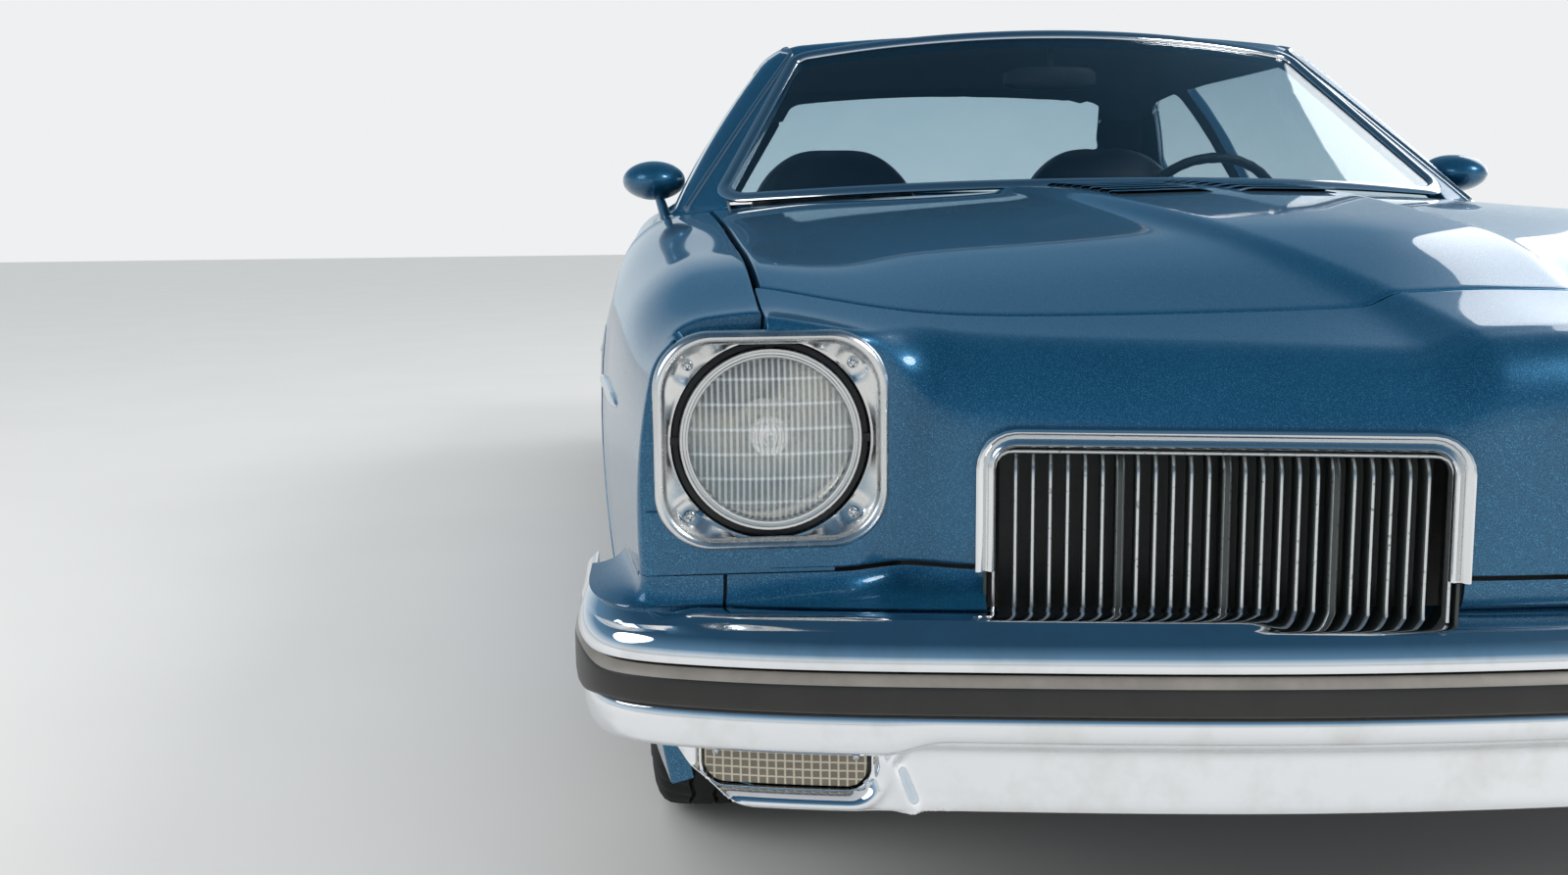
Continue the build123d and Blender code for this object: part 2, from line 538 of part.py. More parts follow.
# Floor, firewall, posts, shelves and the trunk's floor
floor = block(-758, 758, 1642, 3470, 235, 258) + block(-758, 758, 1622, 1642, 235, 850)
floor = floor + block(-636, 636, 3470, 3555, 235, 258) + block(-636, 636, 3555, 3572, 235, 880)
floor = floor + block(-636, 636, 3572, 5100, BOOT_FLOOR, BOOT_FLOOR + 20)
floor = floor + block(-636, 636, 3572, 4000, 862, 880)
for side in (-1, 1):
    x = sorted((side * 758, side * 860))
    floor = floor + block(*x, 1622, COWL - 8, 235, 850) + block(*x, DOOR_REAR + 18, 3100, 235, 850)
tunnel_outer = ((-150, 240), (-108, 362), (108, 362), (150, 240))
tunnel_inner = ((-136, 200), (-94, 346), (94, 346), (136, 200))
tunnel, tunnel_bore = (Solid.extrude(Face(ring([Vector(x, at(1630 - grow), z) for x, z in outline])),
                                     Vector(0, 1835 + 2 * grow, 0))
                       for outline, grow in ((tunnel_outer, 0), (tunnel_inner, 20)))
floor = (floor + tunnel) - tunnel_bore
rocker = (hull - body_hull(84)) & block(0, 1100, COWL + 3, DOOR_REAR, 150, SILL_TOP - GAP)
parts["rockers"] = both(rocker)
wheelhouse = bar(640, 985, REAR_AXLE, TYRE_RADIUS + 5, ARCH_RADIUS + 14)
wheelhouse = wheelhouse - bar(654, 1000, REAR_AXLE, TYRE_RADIUS + 5, ARCH_RADIUS)
wheelhouse = (wheelhouse & body_hull(PANEL + 1)) & block(600, 1000, 3400, 4400, 300, 860)
wheelhouse = wheelhouse - bar(600, 700, REAR_AXLE, TYRE_RADIUS, 70)
apron = block(458, 472, 530, 1618, 330, 790)
liner = bar(465, 985, FRONT_AXLE, TYRE_RADIUS + 5, ARCH_RADIUS + 26)
liner = liner - bar(400, 1000, FRONT_AXLE, TYRE_RADIUS + 5, ARCH_RADIUS + 12)
liner = (liner & panel_core) & block(465, 1000, 500, 1615, 420, 860)


def rail(points, width, height):
    """Box rail along straight runs through (x, s, z) points on the left side."""
    rail_shape = None
    for (x0, s0, z0), (x1, s1, z1) in zip(points, points[1:]):
        ends = []
        for x, s, z in ((x0, s0, z0), (x1, s1, z1)):
            corners = ((-1, -1), (1, -1), (1, 1), (-1, 1))
            ends.append(ring([Vector(x + a * width / 2, at(s), z + b * height / 2) for a, b in corners]))
        run = Solid.make_loft(ends, ruled=True)
        rail_shape = run if rail_shape is None else rail_shape + run
    return rail_shape


FRAME_RAIL = ((410, 264, 400), (410, 700, 330), (410, 1400, 250), (690, 1640, 184), (690, 3430, 184),
              (540, 3700, 472), (540, 4200, 472), (520, 4500, 440), (520, 5090, 440))
left_rail = rail(FRAME_RAIL, 70, 96)
frame = left_rail + mirror(left_rail, Plane.YZ)
for s, half, z in ((FRONT_AXLE, 400, 235), (2250, 690, 175), (4560, 500, 440)):
    frame = frame + block(-half, half, s - 50, s + 50, z - 40, z + 40)
frame = frame + block(-430, 430, 250, 280, 350, 440)
lower_arm = Pos(560, at(FRONT_AXLE), 225) * Box(350, 90, 30)
lower_arm = lower_arm + Pos(KINGPIN_X, at(FRONT_AXLE), 225) * Cylinder(34, 36)
upper_arm = Pos(580, at(FRONT_AXLE), 470) * Box(300, 70, 24) + block(430, 460, 1000, 1080, 300, 500)
upper_arm = upper_arm + Pos(KINGPIN_X, at(FRONT_AXLE), 470) * Cylinder(30, 34)
parts["frame_rails"] = frame
arms = lower_arm + upper_arm - left_rail - block(0, 400, 900, 1200, 150, 300)
parts["control_arms"] = both(arms)
parts["rear_wheelhouses"] = both(wheelhouse - left_rail)
parts["inner_fenders"] = both(apron + liner - block(440, 500, 995, 1085, 300, 505) - left_rail)
parts["cabin_floor"] = floor - frame

knuckle = Pos(KINGPIN_X, at(FRONT_AXLE), 348) * Cylinder(26, 206)
knuckle = knuckle + bar(728, 792, FRONT_AXLE, TYRE_RADIUS, 30)
knuckle = knuckle + bar(744, 754, FRONT_AXLE, TYRE_RADIUS, 84)
pair("knuckle", knuckle)

# Rear axle's half profile as (x, radius): stub, brake plate, tube, and the bulge in the middle
AXLE_PROFILE = ((792, 30), (754, 30), (754, 140), (744, 140), (744, 42), (112, 42), (88, 96), (40, 126))
axle_corners = list(AXLE_PROFILE) + [(-x, radius) for x, radius in reversed(AXLE_PROFILE)]
axle_face = Face(ring([Vector(x, 0, radius) for x, radius in [(-792, 0)] + axle_corners[::-1] + [(792, 0)]]))
axle = Pos(0, at(REAR_AXLE), TYRE_RADIUS) * revolve(axle_face, Axis((0, 0, 0), (1, 0, 0)), 360)
spring = Pos(590, at(REAR_AXLE), 388) * Box(60, 360, 16)
parts["rear_axle"] = axle + spring + mirror(spring, Plane.YZ)

# Wheels: profiles as (x, radius) from the wheel's middle, outwards in +x
TYRE_HALF = ((84, 184), (104, 214), (TYRE_WIDTH / 2, 262), (106, 306), (88, 333), (48, TYRE_RADIUS))
TYRE_WALL = ((48, 324), (90, 310), (97, 262), (86, 214), (70, 184))
RIM_BARREL = ((-92, 190), (-92, 176), (-60, 168), (60, 168), (92, 176), (92, 190), (84, 184), (-84, 184))
RIM_DISC = ((-30, 31), (-8, 31), (14, 60), (22, 100), (8, 150), (-4, 170), (-18, 170), (-2, 140),
            (6, 104), (-30, 76))
SPOKES = 5


def turned(profile, x):
    """Ring turned about the wheel's axis from a profile of (x, radius)."""
    face = Face(ring([Vector(x + dx, 0, radius) for dx, radius in profile]))
    return revolve(face, Axis((0, 0, 0), (1, 0, 0)), 360)


tyre_profile = list(TYRE_HALF) + [(-x, r) for x, r in reversed(TYRE_HALF)]
tyre_profile += [(-x, r) for x, r in reversed(TYRE_WALL)] + list(TYRE_WALL)
tyre = turned(tyre_profile, 0)
rim = turned(RIM_DISC, 0)
for index in range(SPOKES):
    window = Pos(0, 0, 122) * Rot(0, 90, 0) * Box(56, 62, 120)
    rim = rim - Rot((index + 0.5) * 360 / SPOKES, 0, 0) * fillet(window.edges().filter_by(Axis.X), 14)
NUT_CIRCLE, NUT_RADIUS = 46, 9
nut = Pos(6, 0, NUT_CIRCLE) * Rot(0, 90, 0) * Cylinder(NUT_RADIUS, 22)
for index in range(SPOKES):
    rim = rim + Rot(index * 360 / SPOKES, 0, 0) * nut
rim = rim + turned(RIM_BARREL, 0)
for place, s in (("front", FRONT_AXLE), ("rear", REAR_AXLE)):
    seat = Pos(HALF_TRACK, at(s), TYRE_RADIUS)
    pair("tyre_" + place, seat * tyre)
    pair("rim_" + place, seat * rim)

# Engine as one block, radiator support with its core, and the exhaust
parts["engine_block"] = block(-260, 260, 800, 1500, 296, 760)
support = block(-600, 600, 470, 500, 300, 800) - block(-330, 330, 460, 520, 345, 740)
support = support + block(-331, 331, 476, 496, 344, 741)
parts["radiator_support"] = support - frame
pipe = rail(((300, 1560, 170), (300, 3300, 190)), 56, 56) + block(200, 420, 2500, 3000, 130, 225)
parts["exhaust"] = both(pipe - block(-700, 700, 2190, 2310, 130, 220))

# Cabin: dashboard with its column, seats, and the steering wheel
DASH = ((1850, 880), (1900, 912), (2080, 900), (2140, 860), (2140, 760), (2050, 640), (1900, 640))
dash_face = Face(ring([Vector(-752, at(s), z) for s, z in DASH]))
dash = Solid.extrude(dash_face, Vector(1504, 0, 0))
WHEEL_X, WHEEL_S, WHEEL_Z, COLUMN_TILT = 400, 2262, 862, 24
column_frame = Plane(origin=(WHEEL_X, at(WHEEL_S), WHEEL_Z), x_dir=(1, 0, 0),
                     z_dir=(0, cos(radians(COLUMN_TILT)), sin(radians(COLUMN_TILT))))
column = column_frame * Pos(0, 0, -150) * Cylinder(30, 220)
# Hood over the instruments
BINNACLE = (250, 550, 2060, 2150, 850, 935)
binnacle = block(*BINNACLE)
binnacle = fillet(binnacle.edges().filter_by(Axis.X).sort_by(Axis.Z)[-2:], 22)
parts["dashboard"] = dash + column + binnacle
SPOKE_ANGLES = (0, 180, 270)
steering = column_frame * (Pos(0, 0, 6) * Torus(180, 11))
steering = steering + column_frame * (Pos(0, 0, -10) * Cylinder(44, 44))
for angle in SPOKE_ANGLES:
    spoke = Rot(0, 0, angle) * Pos(105, 0, 0) * Box(150, 26, 8)
    steering = steering + column_frame * spoke
parts["steering_wheel"] = steering

SEAT_X = 385
cushion = fillet(block(SEAT_X - 265, SEAT_X + 265, 2490, 3010, 330, 500).edges(), 40)
back = side_prism(((2930, 440), (3090, 440), (3160, 1020), (3130, 1088), (3060, 1080), (3010, 960)),
                  SEAT_X - 250, SEAT_X + 250)
back = fillet(back.edges().filter_by(Axis.X), 26)
# Seen from the front the backrest's upper corners are broad rounds
back_front = block(SEAT_X - 250, SEAT_X + 250, 2900, 3200, 440, 1090)
back = back & fillet(back_front.edges().filter_by(Axis.Y).sort_by(Axis.Z)[-2:], 110)
seat_base = block(SEAT_X - 200, SEAT_X + 200, 2560, 2960, 258, 340)
parts["front_seats"] = both(cushion + back + seat_base)
bench = fillet(block(-600, 600, 3130, 3520, 362, 500).edges(), 40)
bench_back = side_prism(((3400, 440), (3552, 440), (3552, 852), (3500, 856)), -600, 600)
parts["rear_seat"] = bench + bench_back

# Door mirrors on stalks
MIRROR_X, MIRROR_S, MIRROR_Z = 890, 2034, 985
# The head's oval sections: distance behind the middle, half width, half height
MIRROR_HEAD = ((-75, 14, 9), (-68, 36, 22), (-48, 55, 34), (-12, 65, 40.5), (30, 67, 41.5), (36, 61, 37))
ovals = [Plane(origin=(MIRROR_X, at(MIRROR_S + d), MIRROR_Z), x_dir=(1, 0, 0), z_dir=(0, -1, 0))
         * Wire(Edge.make_ellipse(half_width, half_height)) for d, half_width, half_height in MIRROR_HEAD]
head = Solid.make_loft(ovals, ruled=True)
stalk_ends = []
for x, s, z, half_x, half_s in ((862, 2040, 896, 16, 30), (884, 2036, 962, 10, 14)):
    corners = ((-1, -1), (1, -1), (1, 1), (-1, 1))
    stalk_ends.append(ring([Vector(x + a * half_x, at(s + b * half_s), z) for a, b in corners]))
stalk = Solid.make_loft(stalk_ends, ruled=True)
pair("mirror", head + stalk - door)

os.makedirs("parts", exist_ok=True)
for name, shape in parts.items():
    export_step(shape, "parts/" + name + ".step")
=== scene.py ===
"""Two-door muscle car: finish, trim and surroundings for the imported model."""

import bpy
import numpy as np
from mathutils import Matrix

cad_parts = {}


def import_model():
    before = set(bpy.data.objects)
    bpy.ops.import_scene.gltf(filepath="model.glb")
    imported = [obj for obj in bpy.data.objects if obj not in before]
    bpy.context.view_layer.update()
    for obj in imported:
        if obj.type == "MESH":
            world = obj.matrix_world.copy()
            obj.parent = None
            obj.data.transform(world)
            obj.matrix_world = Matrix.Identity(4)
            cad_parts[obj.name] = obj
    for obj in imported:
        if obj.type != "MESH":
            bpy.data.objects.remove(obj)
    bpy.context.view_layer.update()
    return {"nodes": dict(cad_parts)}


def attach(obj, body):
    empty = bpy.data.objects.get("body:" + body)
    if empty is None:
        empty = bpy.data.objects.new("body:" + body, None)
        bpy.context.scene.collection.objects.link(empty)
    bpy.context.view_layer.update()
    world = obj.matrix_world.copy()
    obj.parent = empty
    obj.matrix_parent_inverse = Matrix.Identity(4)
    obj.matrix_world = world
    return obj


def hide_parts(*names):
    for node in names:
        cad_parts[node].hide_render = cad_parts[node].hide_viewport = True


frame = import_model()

bl_info = {
    "name": "Muscle Car Dresser",
    "version": (1, 0, 0),
    "blender": (4, 5, 0),
    "location": "View3D > Sidebar > Car",
    "description": "Builds the panels, trim, lamps, wheels and cabin of a two-door muscle car",
    "category": "Add Mesh",
}

MM = 0.001
LENGTH = 5.270

# Places are (x, s, z) in metres: s is the distance back from the front bumper's tip


def world(points):
    """Points given as (x, s, z) moved to the model's own axes, where y is s less half the length."""
    out = np.array(points, float)
    out[..., 1] -= LENGTH / 2
    return out


# Meshes


def add_mesh(name, points, faces, materials, slots=None):
    """Mesh object from points (x, s, z), a list of face index arrays, the names of its finishes, and the
    number of the finish for each array."""
    mesh = bpy.data.meshes.new(name)
    groups = faces if isinstance(faces, list) else [faces]
    mesh.from_pydata(world(points).reshape(-1, 3).tolist(), [], [f for g in groups for f in g.tolist()])
    mesh.polygons.foreach_set("use_smooth", [True] * len(mesh.polygons))
    if slots:
        numbers = np.concatenate([np.full(len(g), k) for g, k in zip(groups, slots)])
        mesh.polygons.foreach_set("material_index", numbers.astype(np.int32))
    for label in materials.split():
        mesh.materials.append(finish(label))
    mesh.validate()
    mesh.set_sharp_from_angle(angle=0.75)
    mesh.update()
    obj = bpy.data.objects.new(name, mesh)
    bpy.context.scene.collection.objects.link(obj)
    return obj


def grid_quads(rows, cols, wrap_rows=False, wrap_cols=False):
    """Quads of a grid stored row by row; a wrapped side joins its last line to its first."""
    i = np.arange(rows if wrap_rows else rows - 1)
    j = np.arange(cols if wrap_cols else cols - 1)
    i, j = np.meshgrid(i, j, indexing="ij")
    i2, j2 = (i + 1) % rows, (j + 1) % cols
    quads = np.stack([i * cols + j, i * cols + j2, i2 * cols + j2, i2 * cols + j], -1)
    return quads.reshape(-1, 4)


def unit(v):
    """Vectors scaled to length one."""
    return v / np.maximum(np.linalg.norm(v, axis=-1, keepdims=True), 1e-12)


def soft_step(x):
    """Smooth rise from 0 to 1: three times the square less twice the cube."""
    x = np.clip(x, 0, 1)
    return x * x * (3 - 2 * x)


def soft_ramp(x, width):
    """Half of x plus the root of x squared plus width squared: 0, then x, rounded over width."""
    return (x + np.sqrt(x * x + width * width)) / 2


def spline(knots, values, x):
    """Natural cubic spline through the knots; values may have several columns."""
    k, v = np.asarray(knots, float), np.asarray(values, float)
    v = v.reshape(len(k), -1)
    h = np.diff(k)
    matrix = np.eye(len(k))
    i = np.arange(1, len(k) - 1)
    matrix[i, i - 1], matrix[i, i], matrix[i, i + 1] = h[:-1], 2 * (h[:-1] + h[1:]), h[1:]
    slope = np.diff(v, axis=0) / h[:, None]
    bend = np.zeros_like(v)
    bend[1:-1] = 6 * np.diff(slope, axis=0)
    bend = np.linalg.solve(matrix, bend)
    x = np.asarray(x, float)
    flat = np.clip(x.ravel(), k[0], k[-1])
    j = np.clip(np.searchsorted(k, flat) - 1, 0, len(k) - 2)
    a = ((k[j + 1] - flat) / h[j])[:, None]
    b = 1 - a
    out = a * v[j] + b * v[j + 1] + ((a ** 3 - a) * bend[j] + (b ** 3 - b) * bend[j + 1]) * h[j, None] ** 2 / 6
    return np.moveaxis(out.reshape(x.shape + (v.shape[1],)), -1, 0)


# The body's form: a number that is below 0 inside the car's outer skin and 0 on it

# s, sill x, sill z, widest x, widest z, shoulder x, shoulder z, seam z, middle z, fillet
BODY = np.array([
    (162, 880, 330, 912, 620, 897, 758, 812, 827, 46), (450, 905, 300, 938, 610, 926, 782, 853, 872, 76),
    (1040, 912, 230, 980, 590, 946, 820, 890, 925, 90), (1700, 905, 200, 981, 600, 946, 858, 917, 950, 90),
    (2900, 905, 200, 983, 600, 940, 865, 916, 940, 90), (3885, 905, 210, 980, 610, 944, 872, 930, 955, 90),
    (4600, 890, 280, 957, 640, 915, 858, 912, 926, 84), (5150, 850, 400, 899, 650, 866, 812, 866, 876, 60),
], float) * MM

# s, edge z, valley x, valley z, foot x, foot z, crest x, crest z, middle z
HOOD = np.array([
    (100, 811, 603, 764, 130, 771, 90, 792, 797), (235, 820, 605, 786, 125, 803, 97, 819, 823),
    (420, 849, 608, 820, 160, 849, 138, 863, 869), (700, 871, 610, 862, 190, 888, 172, 904, 909),
    (1150, 896, 620, 902, 222, 929, 205, 944, 949), (1700, 917, 600, 938, 240, 952, 218, 961, 966),
], float) * MM
SEAM_X = 0.778

# s, belt x, rail x, rail z, crown z
GREENHOUSE = np.array([
    (1560, 858, 626, 1240, 1290), (2200, 858, 622, 1264, 1306), (2650, 858, 616, 1286, 1339.6),
    (3300, 846, 600, 1270, 1318), (4200, 800, 560, 1150, 1190),
], float) * MM

# Lower and upper edges of the windshield and the rear window:
# half width, s and z at the sides, s and z in the middle
SHIELD = np.array([(775, 1830, 938, 1590, 962), (575, 2227, 1262, 2143, 1304)], float) * MM
BACK = np.array([(660, 4010, 955, 4085, 962), (500, 3400, 1270, 3440, 1300)], float) * MM


def rounded(a, b, radius):
    """Both forms at once: the larger number, with a round of that radius where their faces meet."""
    inside = np.minimum(np.maximum(a, b), -radius)
    return inside + np.hypot(np.maximum(a + radius, 0), np.maximum(b + radius, 0))


def joined(a, b, radius):
    """Either form: the smaller number, blended over radius where they are equal."""
    h = np.clip(0.5 + 0.5 * (b - a) / radius, 0, 1)
    return b + (a - b) * h - radius * h * (1 - h)


def top_height(x, s):
    """Height of the hood and of the deck: straight runs between creases, each rounded over its own width."""
    a = np.abs(x)
    edge_z, valley_x, valley_z, foot_x, foot_z, crest_x, crest_z, middle_z = spline(HOOD[:, 0], HOOD[:, 1:], s)
    foot_x = crest_x + soft_ramp(foot_x - crest_x - 0.017, 0.004) + 0.017
    slope = [(crest_z - middle_z) / crest_x, (foot_z - crest_z) / (foot_x - crest_x),
             (valley_z - foot_z) / (valley_x - foot_x), (edge_z - valley_z) / (SEAM_X - valley_x), -0.13]
    hood = middle_z + slope[0] * (np.sqrt(a * a + 0.0009) - 0.03)
    places = (crest_x, foot_x, valley_x, SEAM_X + 0.006)
    for k, (place, width) in enumerate(zip(places, (0.005, 0.011, 0.085, 0.022))):
        hood = hood + (slope[k + 1] - slope[k]) * soft_ramp(a - place, width)
    seam_z, mid_z = spline(BODY[:, 0], BODY[:, 7:9], s)
    deck = mid_z - (mid_z - seam_z) * (a / 0.79) ** 2
    return hood + (deck - hood) * soft_step((s - 1.62) / 0.20)


def face_place(x, z):
    """s of the front face: back along the grilles, a groove, then the lamp's flat pod."""
    a = np.abs(x)
    face = 0.034 + 0.02 * a + 0.215 * soft_ramp(a - 0.105, 0.02) + 0.42 * soft_ramp(a - 0.585, 0.018)
    face = face - 1.25 * soft_ramp(a - 0.643, 0.02) + 0.595 * soft_ramp(a - 0.697, 0.012)
    return face + 0.04 * (0.712 - z)


def shell_form(points):
    """The whole skin: the lower body cut by its top, sides and ends, with the greenhouse joined on."""
    x, s, z = np.moveaxis(points, -1, 0)
    a = np.abs(x)
    sill_x, sill_z, wide_x, wide_z, shoulder_x, shoulder_z, _, _, fillet = spline(BODY[:, 0], BODY[:, 1:], s)
    bend = np.where(z < wide_z, (wide_x - sill_x) / (wide_z - sill_z) ** 2,
                    (wide_x - shoulder_x) / (shoulder_z - wide_z) ** 2)
    ring = np.hypot(s - 1.040, z - 0.340)
    flare = 0.003 * np.exp(-((ring - 0.40) / 0.05) ** 2)
    side = a - (wide_x - bend * (z - wide_z) ** 2 + flare)
    body = rounded(z - top_height(x, s), side, fillet)
    face = face_place(x, z) - s
    nose_round = 0.085 + (0.013 - 0.085) * soft_step((a - 0.60) / 0.08)
    body = rounded(body, face, nose_round)
    body = rounded(body, s - 5.150, 0.016)
    belt_x, rail_x, rail_z, crown_z = spline(GREENHOUSE[:, 0], GREENHOUSE[:, 1:], s)
    t = (z - 0.880) / (rail_z - 0.880)
    flank = 0.86 * (a - (belt_x + 0.008 + (rail_x - belt_x - 0.008) * t + 0.078 * t * (1 - t)))
    crown = z - (crown_z - (crown_z - rail_z - 0.020) * (x / (rail_x - 0.042)) ** 2)
    house = rounded(flank, crown, 0.045)
    house = rounded(house, 0.53 * (pane_place(SHIELD, x, z) - s), 0.008)
    house = rounded(house, 0.42 * (s - pane_place(BACK, x, z)), 0.010)
    return joined(body, house, 0.008 + 0.062 * soft_step((s - 3.05) / 0.35))


def pane_rows(pane, t):
    """A window's half width, s and z at its sides and s and z in its middle, the share t of the way up."""
    low, high = pane
    return (low[k] + (high[k] - low[k]) * t for k in range(5))


def pane_share(pane, x, z):
    """Share of the way up a bowed window at x and z, found in four steps."""
    low, high = pane
    t = (z - low[2]) / (high[2] - low[2])
    for _ in range(4):
        half, _, side_z, _, mid_z = pane_rows(pane, t)
        bow = (x / half) ** 2
        wanted = z - mid_z - (side_z - mid_z) * bow
        t = t + wanted / ((high[4] - low[4]) * (1 - bow) + (high[2] - low[2]) * bow)
    return t


def pane_place(pane, x, z):
    """s of a bowed window at x and z: a straight line up the glass, bowed as the square of x."""
    half, side_s, _, mid_s, _ = pane_rows(pane, pane_share(pane, x, z))
    return mid_s + (side_s - mid_s) * (x / half) ** 2


def cast(origin, direction, reach):
    """Where rays from inside the car meet its skin: halving the reach 13 times, then one secant step."""
    direction = unit(direction)
    low, high = np.zeros(direction.shape[:-1]), np.full(direction.shape[:-1], reach)
    f_low, f_high = shell_form(origin), shell_form(origin + direction * reach)
    for _ in range(13):
        middle = (low + high) / 2
        f = shell_form(origin + direction * middle[..., None])
        inside = f < 0
        low, f_low = np.where(inside, middle, low), np.where(inside, f, f_low)
        high, f_high = np.where(inside, high, middle), np.where(inside, f_high, f)
    t = low + (high - low) * np.clip(-f_low / np.where(f_high > f_low, f_high - f_low, 1), 0, 1)
    return origin + direction * t[..., None]


def skin_normal(points):
    """Outward direction of the skin: its form's slope, by differences over 3 mm."""
    step = 0.0015
    slopes = [shell_form(points + step * axis) - shell_form(points - step * axis) for axis in np.eye(3)]
    return unit(np.stack(slopes, -1))


def panel(name, rows, cols, chart, keep, depth, fold=0.0025, materials="", normals=skin_normal):
    """Sheet panel. chart gives the skin's points for row and column numbers, and keep is above 0 on
    the panel. Points near keep's edge move onto it along its slope. The edge is folded over a quarter
    circle of radius fold, and an inner skin at depth below the outer one closes the panel."""
    i, j = (g.astype(float) for g in np.meshgrid(np.arange(rows), np.arange(cols), indexing="ij"))
    points = chart(i, j)
    ok = np.ones((rows, cols), bool)
    if keep is not None:
        f = keep(points)
        di, dj = np.gradient(f)
        di[0], di[-1], dj[:, 0], dj[:, -1] = 0, 0, 0, 0
        steep = di * di + dj * dj
        near = (f * f < 0.3 * steep) & (steep > 0)
        for _ in range(4):
            move = np.where(near, f / np.maximum(steep, 1e-18), 0)
            i, j = i - np.clip(move * di, -0.5, 0.5), j - np.clip(move * dj, -0.5, 0.5)
            i, j = np.clip(i, 0, rows - 1), np.clip(j, 0, cols - 1)
            points = chart(i, j)
            f = keep(points)
        ok = near | (f > 0)
        ok &= ~(near & (np.abs(f) > 0.003) & (f < 0))
    points = points.reshape(-1, 3)
    normal = normals(points)
    quads = grid_quads(rows, cols)
    good = ok.ravel()[quads]
    whole = quads[good.all(1)]
    three = good.sum(1) == 3
    rest, lost = quads[three], np.argmin(good[three], axis=1)
    corner = (lost[:, None] + np.array([1, 2, 3])) % 4
    tris = np.take_along_axis(rest, corner, 1)
    middle = whole[len(whole) // 2]
    across = np.cross(points[middle[2]] - points[middle[0]], points[middle[3]] - points[middle[1]])
    if across @ normal[middle[0]] < 0:
        whole, tris = whole[:, ::-1], tris[:, ::-1]
    used, index = np.unique(np.concatenate([whole.ravel(), tris.ravel()]), return_inverse=True)
    points, normal = points[used], normal[used]
    whole, tris = index[:whole.size].reshape(-1, 4), index[whole.size:].reshape(-1, 3)
    return close_panel(name, points, normal, whole, tris, depth, fold, materials)


def close_panel(name, points, normal, whole, tris, depth, fold, materials):
    """Folds a sheet's edge inwards and closes it with an inner skin, depth below the outer one."""
    count = len(points)
    start = np.concatenate([whole.ravel(), tris.ravel()])
    end = np.concatenate([np.roll(whole, -1, 1).ravel(), np.roll(tris, -1, 1).ravel()])
    edge = ~np.isin(start * count + end, end * count + start)
    start, end = start[edge], end[edge]
    rim, place = np.unique(np.concatenate([start, end]), return_inverse=True)
    first, second = place[:len(start)], place[len(start):]
    inward = unit(np.cross(normal[start], points[end] - points[start]))
    total = np.zeros((len(rim), 3))
    np.add.at(total, first, inward)
    np.add.at(total, second, inward)
    length = np.linalg.norm(total, axis=1, keepdims=True)
    toward = total / np.maximum(length, 0.6) * (2 / np.maximum(length, 1.2))
    rim_normal = normal[rim]
    radius = (fold(points[rim]) if callable(fold) else np.full(len(rim), fold))[:, None]
    rings = []
    at_edge = points[rim]
    for angle in (30, 60, 90):
        c, s = np.cos(np.radians(angle)), np.sin(np.radians(angle))
        rings.append(at_edge + toward * radius * (1 - s) - rim_normal * radius * (1 - c))
    rings.append(at_edge - rim_normal * depth)
    points = points.copy()
    points[rim] = at_edge + toward * radius
    inner = points - normal * depth
    inner[rim] = rings[-1]
    everything = np.concatenate([points] + rings[:-1] + [inner])
    lines = [rim] + [count + k * len(rim) + np.arange(len(rim)) for k in range(len(rings) - 1)]
    lines.append(count + (len(rings) - 1) * len(rim) + rim)
    hem = [np.stack([a[second], a[first], b[first], b[second]], 1) for a, b in zip(lines, lines[1:])]
    shift = count + (len(rings) - 1) * len(rim)
    faces = [whole, tris, np.concatenate(hem), whole[:, ::-1] + shift, tris[:, ::-1] + shift]
    back = len(materials.split()) - 1
    return add_mesh(name, everything, faces, materials, (0, 0, 0, back, back))


MIRROR = (-1, 1, 1)


def shift_mesh(mesh, scale, place=(0, 0, 0)):
    """Scales a mesh by 1 or -1 along each axis and moves it; its faces stay turned outwards."""
    co = np.zeros(len(mesh.vertices) * 3)
    mesh.vertices.foreach_get("co", co)
    mesh.vertices.foreach_set("co", (co.reshape(-1, 3) * scale + place).ravel())
    if np.prod(scale) < 0:
        mesh.flip_normals()
    mesh.update()


def moved_copy(obj, name, scale, place=(0, 0, 0)):
    """Copy of a piece under another name, scaled by 1 or -1 along each axis and moved."""
    made = bpy.data.objects.new(name, obj.data.copy())
    shift_mesh(made.data, scale, place)
    bpy.context.scene.collection.objects.link(made)
    return made


def rounded_box(x, z, half_x, half_z, radius):
    """Distance outside a rounded rectangle about the origin, below 0 inside."""
    qx, qz = np.abs(x) - half_x + radius, np.abs(z) - half_z + radius
    return np.hypot(np.maximum(qx, 0), np.maximum(qz, 0)) + np.minimum(np.maximum(qx, qz), 0) - radius


def outline_distance(points, corners, radius):
    """Distance outside a convex outline of (s, z) corners in mm, each corner rounded."""
    s, z = points[..., 1], points[..., 2]
    corners = np.asarray(corners, float) * MM
    middle = corners.mean(0)
    outside = None
    for (s0, z0), (s1, z1) in zip(corners, np.roll(corners, -1, 0)):
        n = np.array([z1 - z0, s0 - s1]) / np.hypot(s1 - s0, z1 - z0)
        n = -n if n @ (middle - (s0, z0)) > 0 else n
        gap = (s - s0) * n[0] + (z - z0) * n[1]
        outside = gap if outside is None else rounded(outside, gap, radius)
    return outside


# Materials


def linear(code):
    """A colour written as sRGB hex, turned to linear values."""
    value = np.array([int(code[k:k + 2], 16) for k in (1, 3, 5)]) / 255
    value = np.where(value <= 0.04045, value / 12.92, ((value + 0.055) / 1.055) ** 2.4)
    return (*value.tolist(), 1.0)


